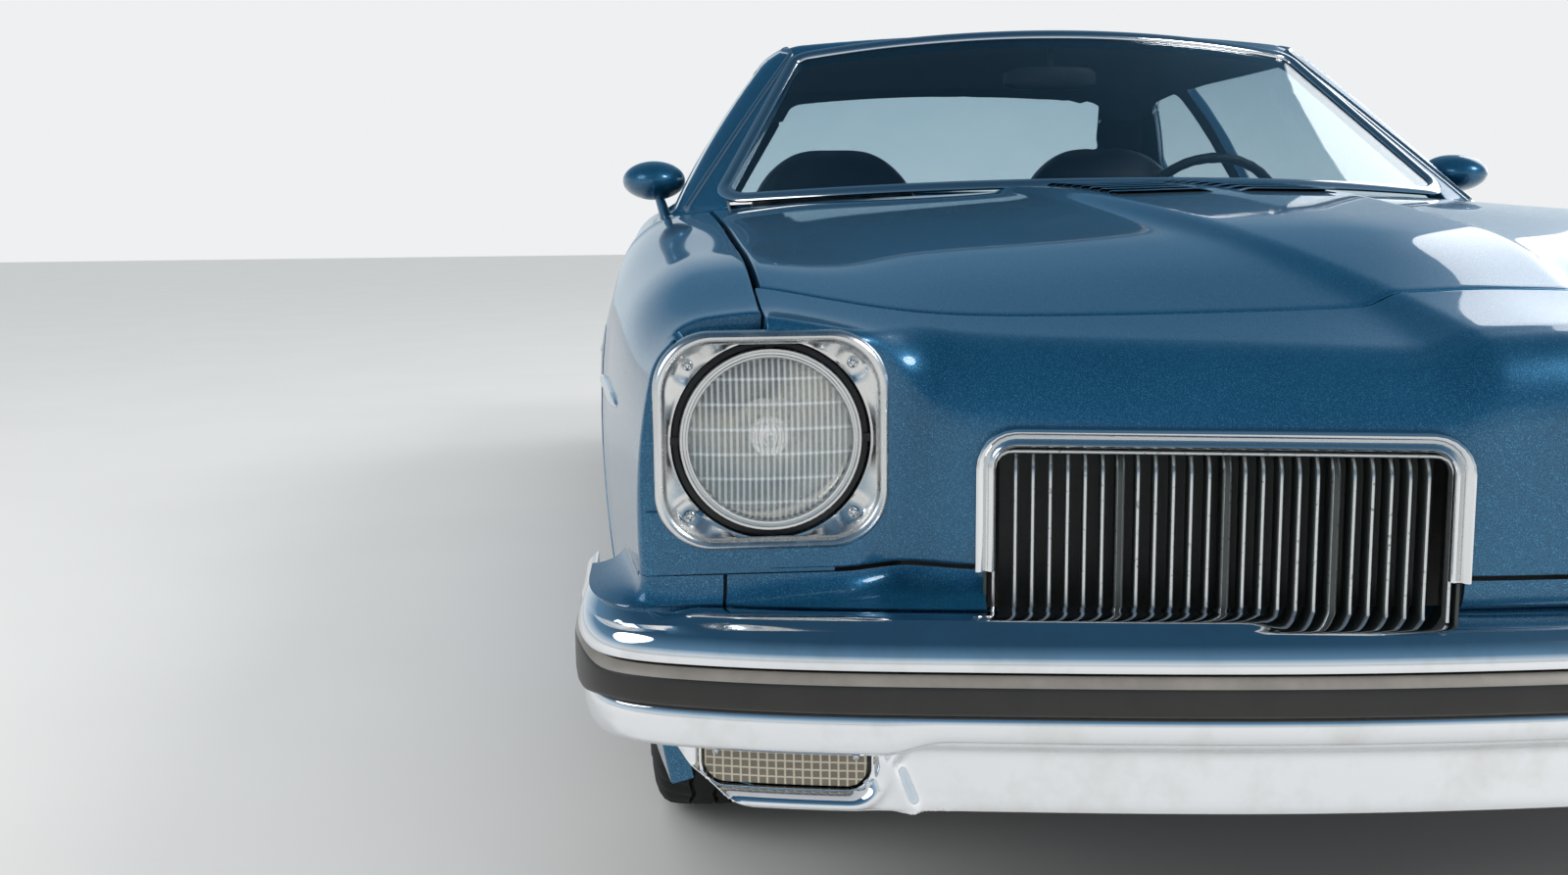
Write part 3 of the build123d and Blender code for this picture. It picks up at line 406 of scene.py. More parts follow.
class CarLook(bpy.types.PropertyGroup):
    """Sizes and colours that a user may change before the pieces are made"""
    paint_dark: bpy.props.FloatVectorProperty(
        name="Paint, Dark", description="Darker of the paint's two blues", subtype="COLOR", min=0, max=1,
        default=linear("#053f5f")[:3])
    paint_light: bpy.props.FloatVectorProperty(
        name="Paint, Light", description="Lighter of the paint's two blues", subtype="COLOR", min=0, max=1,
        default=linear("#0a5c82")[:3])
    paint_flake: bpy.props.FloatVectorProperty(
        name="Paint Flake", description="Colour of the bright flake in the paint", subtype="COLOR", min=0, max=1,
        default=linear("#4c9cc4")[:3])
    wheel_colour: bpy.props.FloatVectorProperty(
        name="Wheels", description="Colour of the wheels' enamel", subtype="COLOR", min=0, max=1,
        default=linear("#abb0b5")[:3])
    ridge_height: bpy.props.FloatProperty(
        name="Bumper Ridge", description="Height of the ridge embossed on the bumpers' shelves", unit="LENGTH",
        default=0.0045, min=0, max=0.006)
    blade_width: bpy.props.FloatProperty(
        name="Grille Blade", description="Width of a thin grille blade", unit="LENGTH", default=0.0044, min=0.002,
        max=0.006)
    louvre_height: bpy.props.FloatProperty(
        name="Louvre Height", description="How far the hood's louvres stand up", unit="LENGTH", default=0.006,
        min=0.003, max=0.015)
    tread_depth: bpy.props.FloatProperty(
        name="Tread Depth", description="Depth of the tyres' grooves", unit="LENGTH", default=0.008, min=0.002,
        max=0.009)


def look():
    """The sizes and colours in use."""
    return bpy.context.scene.car_look


def add_node(tree, kind, inputs=None, **settings):
    """Adds a shader node: settings are its properties, and inputs its sockets' values or what feeds them."""
    made = tree.nodes.new(kind)
    for key, value in settings.items():
        setattr(made, key, value)
    for key, value in (inputs or {}).items():
        if isinstance(value, bpy.types.NodeSocket):
            tree.links.new(value, made.inputs[key])
        else:
            made.inputs[key].default_value = value
    return made


# What fills a node's sockets in a recipe, the output used where it isn't the first, and fixed settings
ORDER = {
    "TexNoise": ("Scale", "Detail", "Roughness", "Vector"), "TexVoronoi": ("Scale",),
    "TexWave": ("Scale", "Phase Offset", "Distortion", "Detail Scale"), "Mapping": ("Vector", "Scale"),
    "MapRange": (0, 1, 2, 3, 4), "Mix": (0, 6, 7), "Math": (0, 1), "Bump": ("Height", "Distance", "Strength"),
    "SeparateXYZ": (0,), "Background": ("Color", "Strength"), "MixShader": (0, 1, 2), "OutputWorld": ("Surface",)}
OUTPUT = {"Mix": 2, "TexWave": 1, "SeparateXYZ": 2}
SETTINGS = {"Mix": {"data_type": "RGBA"}, "TexVoronoi": {"feature": "DISTANCE_TO_EDGE"}}


def given(value, known):
    """What a recipe's word stands for: a colour in hex, an earlier row's output or a colour of the look."""
    if not isinstance(value, str):
        return value
    if value.startswith("#"):
        return linear(value)
    return known[value] if value in known else (*getattr(look(), value), 1)


def add_recipe(tree, rows, known, shader=None):
    """Adds a recipe's nodes in order. A row holds a node's kind, what goes to its sockets as in ORDER, and
    settings; textures take the place. A row named as one of the shader's sockets feeds that socket."""
    for label, (kind, *values) in rows.items():
        settings = dict(SETTINGS.get(kind, {}))
        if isinstance(values[-1], dict):
            settings.update(values.pop())
        inputs = {"Vector": known["place"]} if kind.startswith("Tex") else {}
        inputs.update((key, given(value, known)) for key, value in zip(ORDER[kind], values))
        made = add_node(tree, "ShaderNode" + kind, inputs, **settings)
        if len(made.outputs):
            known[label] = made.outputs[OUTPUT.get(kind, 0)]
        if shader is not None and label in shader.inputs:
            tree.links.new(known[label], shader.inputs[label])


# Each finish: its slot in the record, values on the shader's own sockets, and the recipe for the others.
# A noise's scale is one over the size of its grains in metres
FINISHES = {
    # Dark blue metallic enamel under clear lacquer, sprayed: fine bright flake and a hard gloss. The flake
    # is 0.3 mm and drawn at 0.9 mm so that it shows. Faint orange peel, 8 mm across
    "metallic_paint": ("body paint", {
        "Metallic": 0.62, "Roughness": 0.36, "Coat Weight": 0.8, "Coat Roughness": 0.03, "Coat IOR": 1.45}, {
        "grain": ("TexNoise", 1 / 0.0009, 1.0), "flake": ("MapRange", "grain", 0.55, 0.75, 0.0, 1.0),
        "cloud": ("TexNoise", 1 / 0.25), "blue": ("Mix", "cloud", "paint_dark", "paint_light"),
        "Base Color": ("Mix", "flake", "blue", "paint_flake"),
        "Roughness": ("MapRange", "flake", 0, 1, 0.40, 0.26),
        "peel": ("TexNoise", 1 / 0.008, 1.0), "Coat Normal": ("Bump", "peel", 0.00002, 0.5)}),
    # Chrome plate on pressed steel, buffed: mirror bright, slightly wavy, with patches of dust
    "chrome_plate": ("chrome", {"Base Color": "#dfe1e4", "Metallic": 1.0, "Roughness": 0.05}, {
        "cloud": ("TexNoise", 1 / 0.10, 4.0, 0.7), "dust": ("MapRange", "cloud", 0.50, 0.80, 0.0, 1.0),
        "Roughness": ("MapRange", "dust", 0, 1, 0.035, 0.10), "Base Color": ("Mix", "dust", "#e4e6e9", "#d2d2d1"),
        "wave": ("TexNoise", 1 / 0.09, 1.0), "Normal": ("Bump", "wave", 0.0005, 0.3)}),
    # Polished stainless strip, rolled: bright, with faint draw lines along the car
    "bright_trim": ("chrome", {"Base Color": "#d9dadb", "Metallic": 1.0, "Roughness": 0.11}, {
        "long": ("Mapping", "place", (1 / 0.001, 1 / 0.06, 1 / 0.001)), "lines": ("TexNoise", 1.0, 2.0, 0.5, "long"),
        "Roughness": ("MapRange", "lines", 0.3, 0.7, 0.07, 0.17)}),
    # Die-cast lamp bezel, plated and gone a little dull: soft grey clouding, shallow dents
    "lamp_bezel_metal": ("chrome", {"Base Color": "#d3d3d2", "Metallic": 1.0, "Roughness": 0.14}, {
        "cloud": ("TexNoise", 1 / 0.03, 3.0, 0.6), "Base Color": ("Mix", "cloud", "#c4c5c6", "#e0dfdc"),
        "Roughness": ("MapRange", "cloud", 0.3, 0.7, 0.20, 0.34),
        "dents": ("TexNoise", 1 / 0.012), "Normal": ("Bump", "dents", 0.0003, 0.4)}),
    # Moulded grey-black ABS of the grille blades: satin, a little dusty in patches
    "grille_plastic": ("dark trim", {"Roughness": 0.42}, {
        "dust": ("TexNoise", 1 / 0.006, 3.0, 0.6), "Base Color": ("Mix", "dust", "#2a2f2f", "#3d4341")}),
    # Hot-stamped silver film on the blades' front edges: bright but not mirror-like, worn in spots
    "silver_edging": ("chrome", {"Metallic": 0.9, "Roughness": 0.3}, {
        "spots": ("TexNoise", 1 / 0.005), "wear": ("MapRange", "spots", 0.6, 0.75, 0.0, 1.0),
        "Base Color": ("Mix", "wear", "#d3d6d6", "#8e9292")}),
    # Extruded black rubber of the bumper strip: satin, greyed by weather, with faint long lines
    "strip_rubber": ("rubber strip", {"Roughness": 0.42, "Specular IOR Level": 0.45}, {
        "cloud": ("TexNoise", 1 / 0.05, 3.0, 0.6), "Base Color": ("Mix", "cloud", "#1b1a19", "#2b2927"),
        "long": ("Mapping", "place", (1 / 0.09, 1 / 0.09, 1 / 0.0015)), "lines": ("TexNoise", 1.0, 1.0, 0.5, "long"),
        "Normal": ("Bump", "lines", 0.0002, 0.25)}),
    # Upper edge of the bumper's rubber: satin pale grey, a painted sheen that stands in for the sky's reflection on
    # its chamfer
    "worn_rubber": ("rubber strip", {"Roughness": 0.34, "Specular IOR Level": 0.5}, {
        "cloud": ("TexNoise", 1 / 0.04, 3.0, 0.6), "Base Color": ("Mix", "cloud", "#6d6963", "#928d86")}),
    # Blank plate, stove-enamelled sheet: one even off-white with hardly any cloud
    "plate_enamel": ("wheel metal", {"Roughness": 0.35}, {
        "cloud": ("TexNoise", 1 / 0.3, 1.0), "Base Color": ("Mix", "cloud", "#d4d5d1", "#cbccc8")}),
    # Moulded black rubber seal: matt, fine grain. The same black paints the shade in the hood louvres' slots
    "seal_rubber": ("dark trim", {"Roughness": 0.62}, {
        "grain": ("TexNoise", 1 / 0.003), "Base Color": ("Mix", "grain", "#0d0d0e", "#191a1b")}),
    # Tinted toughened window glass, float made: clear, slightly blue-green, faint dust film
    "tinted_glass": ("tinted glass", {"Transmission Weight": 1.0, "IOR": 1.45, "Roughness": 0.0}, {
        "film": ("TexNoise", 1 / 0.2), "Base Color": ("Mix", "film", "#edf7f9", "#e4f1f5")}),
    # Pressed clear lens glass: upright flutes 6 mm apart, in level bands 24.5 mm tall. A pale film, more opaque along
    # the flutes and at the bands' edges, paints the glints that they catch
    "lamp_glass": ("lamp glass", {"IOR": 1.5, "Roughness": 0.04}, {
        "film": ("TexNoise", 1 / 0.02), "Base Color": ("Mix", "film", "#dfe6ea", "#c4ccd0"),
        "flutes": ("TexWave", 52.4, 0.0, 0.6, 30.0, {"bands_direction": "X"}),
        "bands": ("TexWave", 12.8, 1.4, {"bands_direction": "Z"}),
        # Alpha of the pale film: painted glints along the flutes and at the bands' edges
        "edge": ("MapRange", "bands", 0.0, 0.05, 0.22, 0.0), "body": ("MapRange", "flutes", 0.30, 1.0, 0.10, 0.42),
        "Alpha": ("Math", "body", "edge", {"operation": "ADD"})}),
    # Vacuum-plated aluminium inside the lamp's bowl: a true mirror, a little warm with age
    "bowl_mirror": ("lamp glass", {"Metallic": 1.0, "Roughness": 0.06}, {
        "cloud": ("TexNoise", 1 / 0.03), "Base Color": ("Mix", "cloud", "#e4e2dc", "#cfccc2")}),
    # Moulded acrylic of the turn lamps: grey-brown pillows 8.8 mm apart, with painted glints: paler along the lines
    # between them
    "smoky_lens": ("lamp glass", {"IOR": 1.49, "Roughness": 0.1, "Coat Weight": 0.6}, {
        "cloud": ("TexNoise", 1 / 0.02), "smoke": ("Mix", "cloud", "#5f584b", "#776e5e"),
        "upright": ("TexWave", 35.7, 0.0, {"bands_direction": "X"}),
        "level": ("TexWave", 37.4, 1.6, {"bands_direction": "Z"}),
        "line": ("Math", "upright", "level", {"operation": "MAXIMUM"}),
        # Pale lines between the pillows: painted glints
        "glow": ("MapRange", "line", 0.80, 1.0, 0.0, 1.0), "Base Color": ("Mix", "glow", "smoke", "#c9c0aa")}),
    # Moulded red acrylic of the tail lamps: deep and glossy
    "red_lens": ("red lens", {"Transmission Weight": 0.25, "IOR": 1.49, "Roughness": 0.08}, {
        "cloud": ("TexNoise", 1 / 0.03), "Base Color": ("Mix", "cloud", "#8d0f12", "#a71417")}),
    # Black chassis paint on pressed steel: half matt, with road dust and first rust
    "chassis_steel": ("frame steel", {"Roughness": 0.6}, {
        "film": ("TexNoise", 1 / 0.09, 4.0, 0.6), "dust": ("MapRange", "film", 0.4, 0.7, 0.0, 1.0),
        "spots": ("TexNoise", 1 / 0.03, 4.0, 0.65), "rust": ("MapRange", "spots", 0.62, 0.74, 0.0, 1.0),
        "black": ("Mix", "dust", "#161617", "#2b2926"), "Base Color": ("Mix", "rust", "black", "#3c2a20")}),
    # Sand-cast iron in engine paint: grainy and dull blue-grey
    "cast_iron": ("cast iron", {"Metallic": 0.2, "Roughness": 0.55}, {
        "grain": ("TexNoise", 1 / 0.004, 3.0), "Base Color": ("Mix", "grain", "#26374a", "#31475f"),
        "Normal": ("Bump", "grain", 0.0006, 0.5)}),
    # Aluminised exhaust steel, heat-stained: dull silver going brown
    "exhaust_steel": ("exhaust steel", {"Metallic": 0.8, "Roughness": 0.5}, {
        "stain": ("TexNoise", 1 / 0.12, 4.0, 0.6), "Base Color": ("Mix", "stain", "#77736c", "#4a3b2f")}),
    # Embossed seat vinyl, dark blue-black: leather grain about 3 mm across and a soft sheen
    "seat_vinyl": ("interior vinyl", {"Roughness": 0.48, "Sheen Weight": 0.15, "Sheen Roughness": 0.4}, {
        "cells": ("TexVoronoi", 330.0), "grain": ("MapRange", "cells", 0.0, 0.12, 0.0, 1.0),
        "cloud": ("TexNoise", 1 / 0.12), "Base Color": ("Mix", "cloud", "#171c26", "#1f2632"),
        "Normal": ("Bump", "grain", 0.0003, 0.5)}),
    # Moulded grained plastic of the dashboard: dull blue-black
    "dash_plastic": ("interior plastic", {"Roughness": 0.5}, {
        "grain": ("TexNoise", 1 / 0.002, 3.0), "Base Color": ("Mix", "grain", "#12151b", "#1c2028"),
        "Normal": ("Bump", "grain", 0.0003, 0.4)}),
    # Looped nylon carpet over the floor pan: dark, fuzzy, tufts about 4 mm
    "floor_carpet": ("interior vinyl", {"Roughness": 0.95, "Sheen Weight": 0.3}, {
        "tuft": ("TexNoise", 1 / 0.004, 3.0, 0.7), "Base Color": ("Mix", "tuft", "#0f131a", "#222935"),
        "Normal": ("Bump", "tuft", 0.002, 0.7)}),
    # Vinyl of the roof lining: grey-blue, matt
    "head_lining": ("interior vinyl", {"Roughness": 0.75}, {
        "grain": ("TexNoise", 1 / 0.003), "Base Color": ("Mix", "grain", "#3a4350", "#46505e")}),
    # Vulcanised tyre rubber: black-grey, matt, with a little brown road dust
    "tyre_rubber": ("tyre rubber", {"Roughness": 0.78, "Specular IOR Level": 0.35}, {
        "film": ("TexNoise", 1 / 0.12, 4.0, 0.6), "dust": ("MapRange", "film", 0.45, 0.75, 0.0, 1.0),
        "Base Color": ("Mix", "dust", "#19191a", "#242322"), "grain": ("TexNoise", 1 / 0.0015),
        "Normal": ("Bump", "grain", 0.0002, 0.5)}),
    # Silver-grey wheel enamel on pressed steel: fine flake and a light film of brake dust
    "wheel_paint": ("wheel metal", {
        "Metallic": 0.7, "Roughness": 0.34, "Coat Weight": 0.5, "Coat Roughness": 0.08}, {
        "film": ("TexNoise", 1 / 0.10, 3.0, 0.55), "dust": ("MapRange", "film", 0.45, 0.8, 0.0, 0.6),
        "flake": ("TexNoise", 1 / 0.001, 1.0), "silver": ("Mix", "flake", "#8e9398", "wheel_colour"),
        "Base Color": ("Mix", "dust", "silver", "#77736c")}),
    # Pale studio floor, painted: matt and almost even
    "floor_paint": (None, {"Roughness": 0.7, "Specular IOR Level": 0.2}, {
        "cloud": ("TexNoise", 1 / 0.6), "Base Color": ("Mix", "cloud", "#dededc", "#e4e4e2")}),
}

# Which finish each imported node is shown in
NODE_FINISH = {
    "metallic_paint": "roof fender_left fender_right quarter_left quarter_right rear_deck trunk_lid tail_panel hood "
                      "nose_panel cowl door_left door_right mirror_left mirror_right bumper_fillers rockers",
    "chrome_plate": "front_bumper rear_bumper front_valance rear_valance grille_frames",
    "lamp_bezel_metal": "headlamp_bezels", "grille_plastic": "grille_inserts", "lamp_glass": "headlamps",
    "tinted_glass": "windshield rear_window quarter_windows door_glass_left door_glass_right",
    "strip_rubber": "front_rub_strip rear_rub_strip", "smoky_lens": "turn_lamps", "red_lens": "tail_lamps",
    "chassis_steel": "cabin_floor rear_wheelhouses inner_fenders frame_rails control_arms knuckle_left "
                     "knuckle_right rear_axle radiator_support",
    "cast_iron": "engine_block", "exhaust_steel": "exhaust", "dash_plastic": "dashboard steering_wheel",
    "seat_vinyl": "front_seats rear_seat",
    "tyre_rubber": "tyre_front_left tyre_front_right tyre_rear_left tyre_rear_right",
    "wheel_paint": "rim_front_left rim_front_right rim_rear_left rim_rear_right"}


def finish(name):
    """The material of that name, made from its recipe when it is first asked for."""
    if bpy.data.materials.get(name):
        return bpy.data.materials[name]
    _, sockets, rows = FINISHES[name]
    material = bpy.data.materials.new(name)
    material.use_nodes = True
    tree = material.node_tree
    shader = tree.nodes["Principled BSDF"]
    for key, value in sockets.items():
        shader.inputs[key].default_value = given(value, {})
    add_recipe(tree, rows, {"place": add_node(tree, "ShaderNodeTexCoord").outputs["Object"]}, shader)
    return material


def place_piece(obj, body, finish_name, *nodes):
    """Lets a piece move with its body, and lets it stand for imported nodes."""
    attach(obj, body)
    if nodes:
        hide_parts(*nodes)
    return obj


# Panels

FRONT_AXLE, REAR_AXLE, AXLE_Z = 1.040, 3.885, 0.340
FRONT_ARCH, REAR_ARCH = 0.397, 0.385
LAMP_X, LAMP_Z = 0.779, 0.695
GRILLE_IN, GRILLE_OUT = np.array([0.119, 0.032]), np.array([0.577, 0.140])
GRILLE_MID = (GRILLE_IN + GRILLE_OUT) / 2
GRILLE_HALF = np.linalg.norm(GRILLE_OUT - GRILLE_IN) / 2
GRILLE_ALONG = (GRILLE_OUT - GRILLE_IN) / (2 * GRILLE_HALF)
GRILLE_TOP = 0.697
DOOR_HOLE = ((1870, 860), (2250, 1250), (2296, 1267), (3018, 1267), (3018, 860))
QUARTER_HOLE = ((3092, 918), (3092, 1262), (3310, 1246), (3572, 1066), (3572, 984), (3505, 918))


def spaced(stops, steps):
    """Places between the stops, evenly spaced in each run at about that run's step."""
    runs = [np.linspace(a, b, int(np.ceil((b - a) / step)) + 1)[:-1]
            for a, b, step in zip(stops, stops[1:], steps)]
    return np.concatenate(runs + [[stops[-1]]])


def both_ways(half):
    """Places on one side of the middle, made to run from side to side."""
    return np.concatenate([-half[:0:-1], half])


def pick(values, k):
    """Values at whole or part numbers along a row."""
    return np.interp(k, np.arange(len(values)), values)


def hood_front(x):
    """s of the hood's front edge, bowed as the square of x."""
    return 0.255 + 0.083 * (x / 0.780) ** 2


def hood_rear(x):
    """s of the hood's rear edge, bowed as the square of x."""
    return 1.562 + 0.126 * (x / 0.780) ** 2


def pane_outside(pane, points, margin, corner):
    """Distance outside a window's edge drawn in by margin, with round corners."""
    x, _, z = np.moveaxis(points, -1, 0)
    low, high = pane
    t = pane_share(pane, x, z)
    half = low[0] + (high[0] - low[0]) * t
    run = np.hypot(high[3] - low[3], high[4] - low[4])
    sides = np.abs(x) - half + margin
    return rounded(rounded(sides, margin - t * run, corner), margin - (1 - t) * run, corner)


def grille_place(points):
    """Places in the grille's own plane: distance outboard of its middle, and distance behind it."""
    a, s = np.abs(points[..., 0]) - GRILLE_MID[0], points[..., 1] - GRILLE_MID[1]
    return a * GRILLE_ALONG[0] + s * GRILLE_ALONG[1], s * GRILLE_ALONG[0] - a * GRILLE_ALONG[1]


def top_chart(xs, ts, front, rear):
    """Chart of a panel on the car's top, between front and rear edges given for each x."""
    def chart(i, j):
        x, t = pick(xs, j), pick(ts, i)
        s = front(x) + (rear(x) - front(x)) * t
        return np.stack([x, s, top_height(x, s)], -1)
    return chart


def hood_panel():
    """The hood: its top line carried from its front edge to its rear edge."""
    xs = both_ways(spaced((0, 0.06, 0.26, 0.50, 0.72, 0.775), (0.02, 0.0065, 0.016, 0.016, 0.008)))
    ts = spaced((0, 0.04, 1), (0.010, 0.0140))
    return panel("hood_skin", len(ts), len(xs), top_chart(xs, ts, hood_front, hood_rear), None, 0.020, 0.003,
                 "metallic_paint")


def cowl_panel():
    """The cowl: from the hood's rear edge to the foot of the windshield."""
    xs = both_ways(spaced((0, 0.775), (0.018,)))
    ts = np.linspace(0, 1, 7)
    rear = lambda x: pane_place(SHIELD, x, top_height(x, hood_rear(x))) + 0.001
    chart = top_chart(xs, ts, lambda x: hood_rear(x) + 0.005, rear)
    return panel("cowl_skin", len(ts), len(xs), chart, None, 0.022, 0.002, "metallic_paint")


def nose_panel():
    """The nose: in each plane of one x, rays fan from behind it, forwards and down to its lower edge."""
    xs = both_ways(spaced((0, 0.07, 0.13, 0.56, 0.72, 0.7815), (0.012, 0.006, 0.0115, 0.0065, 0.0075)))
    rows = 78

    def chart(i, j):
        x, t = pick(xs, j), i / (rows - 1)
        top_s = hood_front(x) - 0.005
        back, down = 0.060, top_height(x, top_s) - 0.640
        first = np.arctan2(back, down)
        last = np.pi / 2 + np.arctan2(0.640 - 0.562, top_s + back - face_place(x, 0.562))
        angle = first + (last - first) * t
        origin = np.stack([x, top_s + back, np.full_like(x, 0.640)], -1)
        return cast(origin, np.stack([0 * x, -np.sin(angle), np.cos(angle)], -1), 0.5)

    def keep(points):
        lamp = rounded_box(np.abs(points[..., 0]) - BEZEL_X, points[..., 2] - BEZEL_Z, BEZEL_HALF_X - 0.010,
                           BEZEL_HALF_Z - 0.010, 0.050)
        across, _ = grille_place(points)
        grille = rounded_box(across, points[..., 2] - 0.540, GRILLE_HALF - 0.008, 0.158, 0.034)
        return np.minimum(lamp, grille)
    return panel("nose_skin", rows, len(xs), chart, keep, 0.022, 0.0022, "metallic_paint")


def fender_panel():
    """Left front fender: in each plane of one s, rays fan out from inside it. Ahead of s 0.200 only the
    strip beside the lamp's bezel is kept, drawn in towards the lamp."""
    corner = 0.162 + 0.013 * (1 - np.cos(np.radians([3, 20, 38, 56, 74, 90])))
    places = np.concatenate([corner, spaced((0.182, 0.40, 1.715), (0.011, 0.0135))])
    tops = cast(np.stack([0 * places + 0.784, places, 0 * places + 0.64], -1), np.array([0.0, 0.0, 1.0]) + np.zeros(
        (len(places), 3)), 0.6)[:, 2]
    face_rows, cols = 4, 70
    ts = np.linspace(0, 1, cols)

    def chart(i, j):
        k = np.maximum(i - face_rows, 0)
        s, top_z = pick(places, k), pick(tops, k)
        sill_x, sill_z = spline(BODY[:, 0], BODY[:, 1:3], s)
        first, last = np.arctan2(top_z - 0.64, 0.284), np.arctan2(sill_z - 0.64, sill_x - 0.5)
        angle = first + (last - first) * pick(ts, j)
        origin = np.stack([0 * s + 0.5, s, 0 * s + 0.64], -1)
        points = cast(origin, np.stack([np.cos(angle), 0 * s, np.sin(angle)], -1), 0.8)
        pull = (np.maximum(face_rows - i, 0) * 0.045)[..., None]
        centre = np.stack([0 * s + LAMP_X, points[..., 1], 0 * s + LAMP_Z], -1)
        return points + (centre - points) * pull

    def keep(points):
        x, s, z = np.moveaxis(points, -1, 0)
        arch = np.hypot(s - FRONT_AXLE, z - AXLE_Z) - FRONT_ARCH
        return np.minimum(arch, np.maximum(s - 0.200, np.minimum(z - 0.557, x - 0.872)))
    return panel("fender_skin_left", len(places) + face_rows, cols, chart, keep, 0.024, 0.0024,
                 "metallic_paint", fender_normal)


def pod_panel():
    """Left lamp's pod: the flat front face below the lamp, half a millimetre inside nose and fender."""
    xs, zs = spaced((0.715, 0.905, 0.919), (0.008, 0.0035)), spaced((0.5585, 0.624), (0.0065,))

    def chart(i, j):
        x, z = pick(xs, j), pick(zs, i)
        origin = np.stack([np.minimum(x, 0.88 - 0 * x), 0 * x + 0.40, z], -1)
        reach = np.stack([x - origin[..., 0], 0 * x - 0.20, 0 * x], -1)
        return cast(origin, reach, 0.5) + np.array([0, 0.0006, 0])

    def keep(points):
        return np.hypot(points[..., 0] - LAMP_X, points[..., 2] - LAMP_Z) - 0.0985
    return panel("pod_skin_left", len(zs), len(xs), chart, keep, 0.015, 0.001, "metallic_paint")


def fender_normal(points):
    """The skin's outward direction, straight ahead on the flat front face."""
    normal = skin_normal(points)
    normal[points[:, 1] < 0.1622] = (0, -1, 0)
    return normal


def side_points(s, z):
    """Where level rays outwards from x 0.3 meet the skin's left side."""
    return cast(np.stack([0 * s + 0.3, s, z], -1), np.stack([1 + 0 * s, 0 * s, 0 * s], -1), 0.8)


def side_chart(places, heights):
    """Chart of a panel on the left side: where level rays outwards meet the skin."""
    return lambda i, j: side_points(pick(places, j), pick(heights, i))


def door_panel():
    """Left door's outer skin, folded over its edges."""
    places, heights = spaced((1.720, 3.020), (0.0145,)), spaced((0.258, 0.80, 0.905), (0.017, 0.0085))
    return panel("door_skin_left", len(heights), len(places), side_chart(places, heights), None, 0.050, 0.0026,
                 "metallic_paint metallic_paint")


def door_card():
    """Left door's inner trim: a slab inside the skin, 55 to 105 mm deep, with soft edges."""
    places, heights = spaced((1.745, 2.990), (0.04,)), spaced((0.275, 0.895), (0.03,))

    def chart(i, j):
        points = side_chart(places, heights)(i, j)
        points[..., 0] = np.minimum(points[..., 0] - 0.056, 0.86)
        return points
    return panel("door_card_left", len(heights), len(places), chart, None, 0.045, 0.006,
                 "seat_vinyl seat_vinyl", lambda p: np.tile([1.0, 0.0, 0.0], (len(p), 1)))


def rocker_panel():
    """Left rocker under the door."""
    places, heights = spaced((1.719, 3.020), (0.03,)), spaced((0.203, 0.253), (0.008,))
    return panel("rocker_skin_left", len(heights), len(places), side_chart(places, heights), None, 0.060, 0.0025,
                 "metallic_paint")


def weld_fold(points):
    """Radius of a fold: next to nothing where roof and quarter are welded, 2.4 mm elsewhere."""
    x, s, z = np.moveaxis(points, -1, 0)
    weld = ((np.abs(z - 1.215) < 0.004) & (s > 3.088)) | ((np.abs(x) < 0.688) & (s > 4.001) & (s < 4.088))
    return np.where(weld, 0.0003, 0.0024)


def quarter_panel():
    """Left quarter with the rear pillar: rays fan in each plane of one s from inside the body."""
    places = spaced((3.025, 3.15, 3.62, 4.35, 5.116), (0.012, 0.0105, 0.013, 0.018))
    cols = 126

    def chart(i, j):
        s, t = pick(places, i), j / (cols - 1)
        sill_x, sill_z = spline(BODY[:, 0], BODY[:, 1:3], s)
        first = np.arctan2(sill_z - 0.6, sill_x - 0.4)
        angle = first + (np.radians(80) - first) * t
        origin = np.stack([0 * s + 0.4, s, 0 * s + 0.6], -1)
        return cast(origin, np.stack([np.cos(angle), 0 * s, np.sin(angle)], -1), 0.9)

    def keep(points):
        x, s, z = np.moveaxis(points, -1, 0)
        parts = [np.hypot(s - REAR_AXLE, z - AXLE_Z) - REAR_ARCH, 1.2145 - z, np.maximum(s - 3.0925, 0.9075 - z),
                 pane_outside(BACK, points, 0.030, 0.03), outline_distance(points, QUARTER_HOLE, 0.03),
                 np.maximum(x - 0.6866, 4.0045 - s), np.maximum(x - 0.7765, 4.090 - s)]
        return np.min(parts, axis=0)
    return panel("quarter_skin_left", len(places), cols, chart, keep, 0.024, weld_fold,
                 "metallic_paint dash_plastic")


# s of a plane between the windshield and the rear window
BETWEEN_PANES = 2.7


def roof_panel():
    """Roof with the windshield pillars and the posts behind the doors: rays fan from the cabin's middle."""
    places = spaced((1.79, 2.34, 3.00, 3.11, 3.60, 3.95), (0.010, 0.013, 0.009, 0.011, 0.014))
    turns = both_ways(np.radians(np.concatenate([np.arange(0, 48, 2.0), np.arange(48, 88.6, 0.72)])))

    def chart(i, j):
        s, angle = pick(places, i), pick(turns, j)
        origin = np.stack([0 * s, s, 0 * s + 0.88], -1)
        return cast(origin, np.stack([np.sin(angle), 0 * s, np.cos(angle)], -1), 1.1)

    def keep(points):
        x, s, z = np.moveaxis(points, -1, 0)
        foot = np.maximum(np.maximum(np.abs(x) - 0.745, s - 1.85), z - 1.0)
        parts = [z - 0.912, np.maximum(3.0905 - s, z - 1.2155),
                 np.maximum(pane_outside(SHIELD, points, 0.014, 0.03), s - BETWEEN_PANES),
                 np.maximum(pane_outside(BACK, points, 0.030, 0.03), BETWEEN_PANES - s),
                 outline_distance(points, DOOR_HOLE, 0.02), outline_distance(points, QUARTER_HOLE, 0.03), foot]
        return np.min(parts, axis=0)
    return panel("roof_skin", len(places), len(turns), chart, keep, 0.030, weld_fold,
                 "metallic_paint head_lining")


def deck_panel():
    """Panel behind the rear window, up to the trunk lid."""
    xs, ts = both_ways(spaced((0, 0.686), (0.02,))), np.linspace(0, 1, 6)
    front = lambda x: np.clip(pane_place(BACK, x, 0 * x + 0.957) - 0.016, 4.006, 4.073)
    return panel("deck_skin", len(ts), len(xs), top_chart(xs, ts, front, lambda x: 0 * x + 4.0895), None, 0.020,
                 0.001, "metallic_paint")


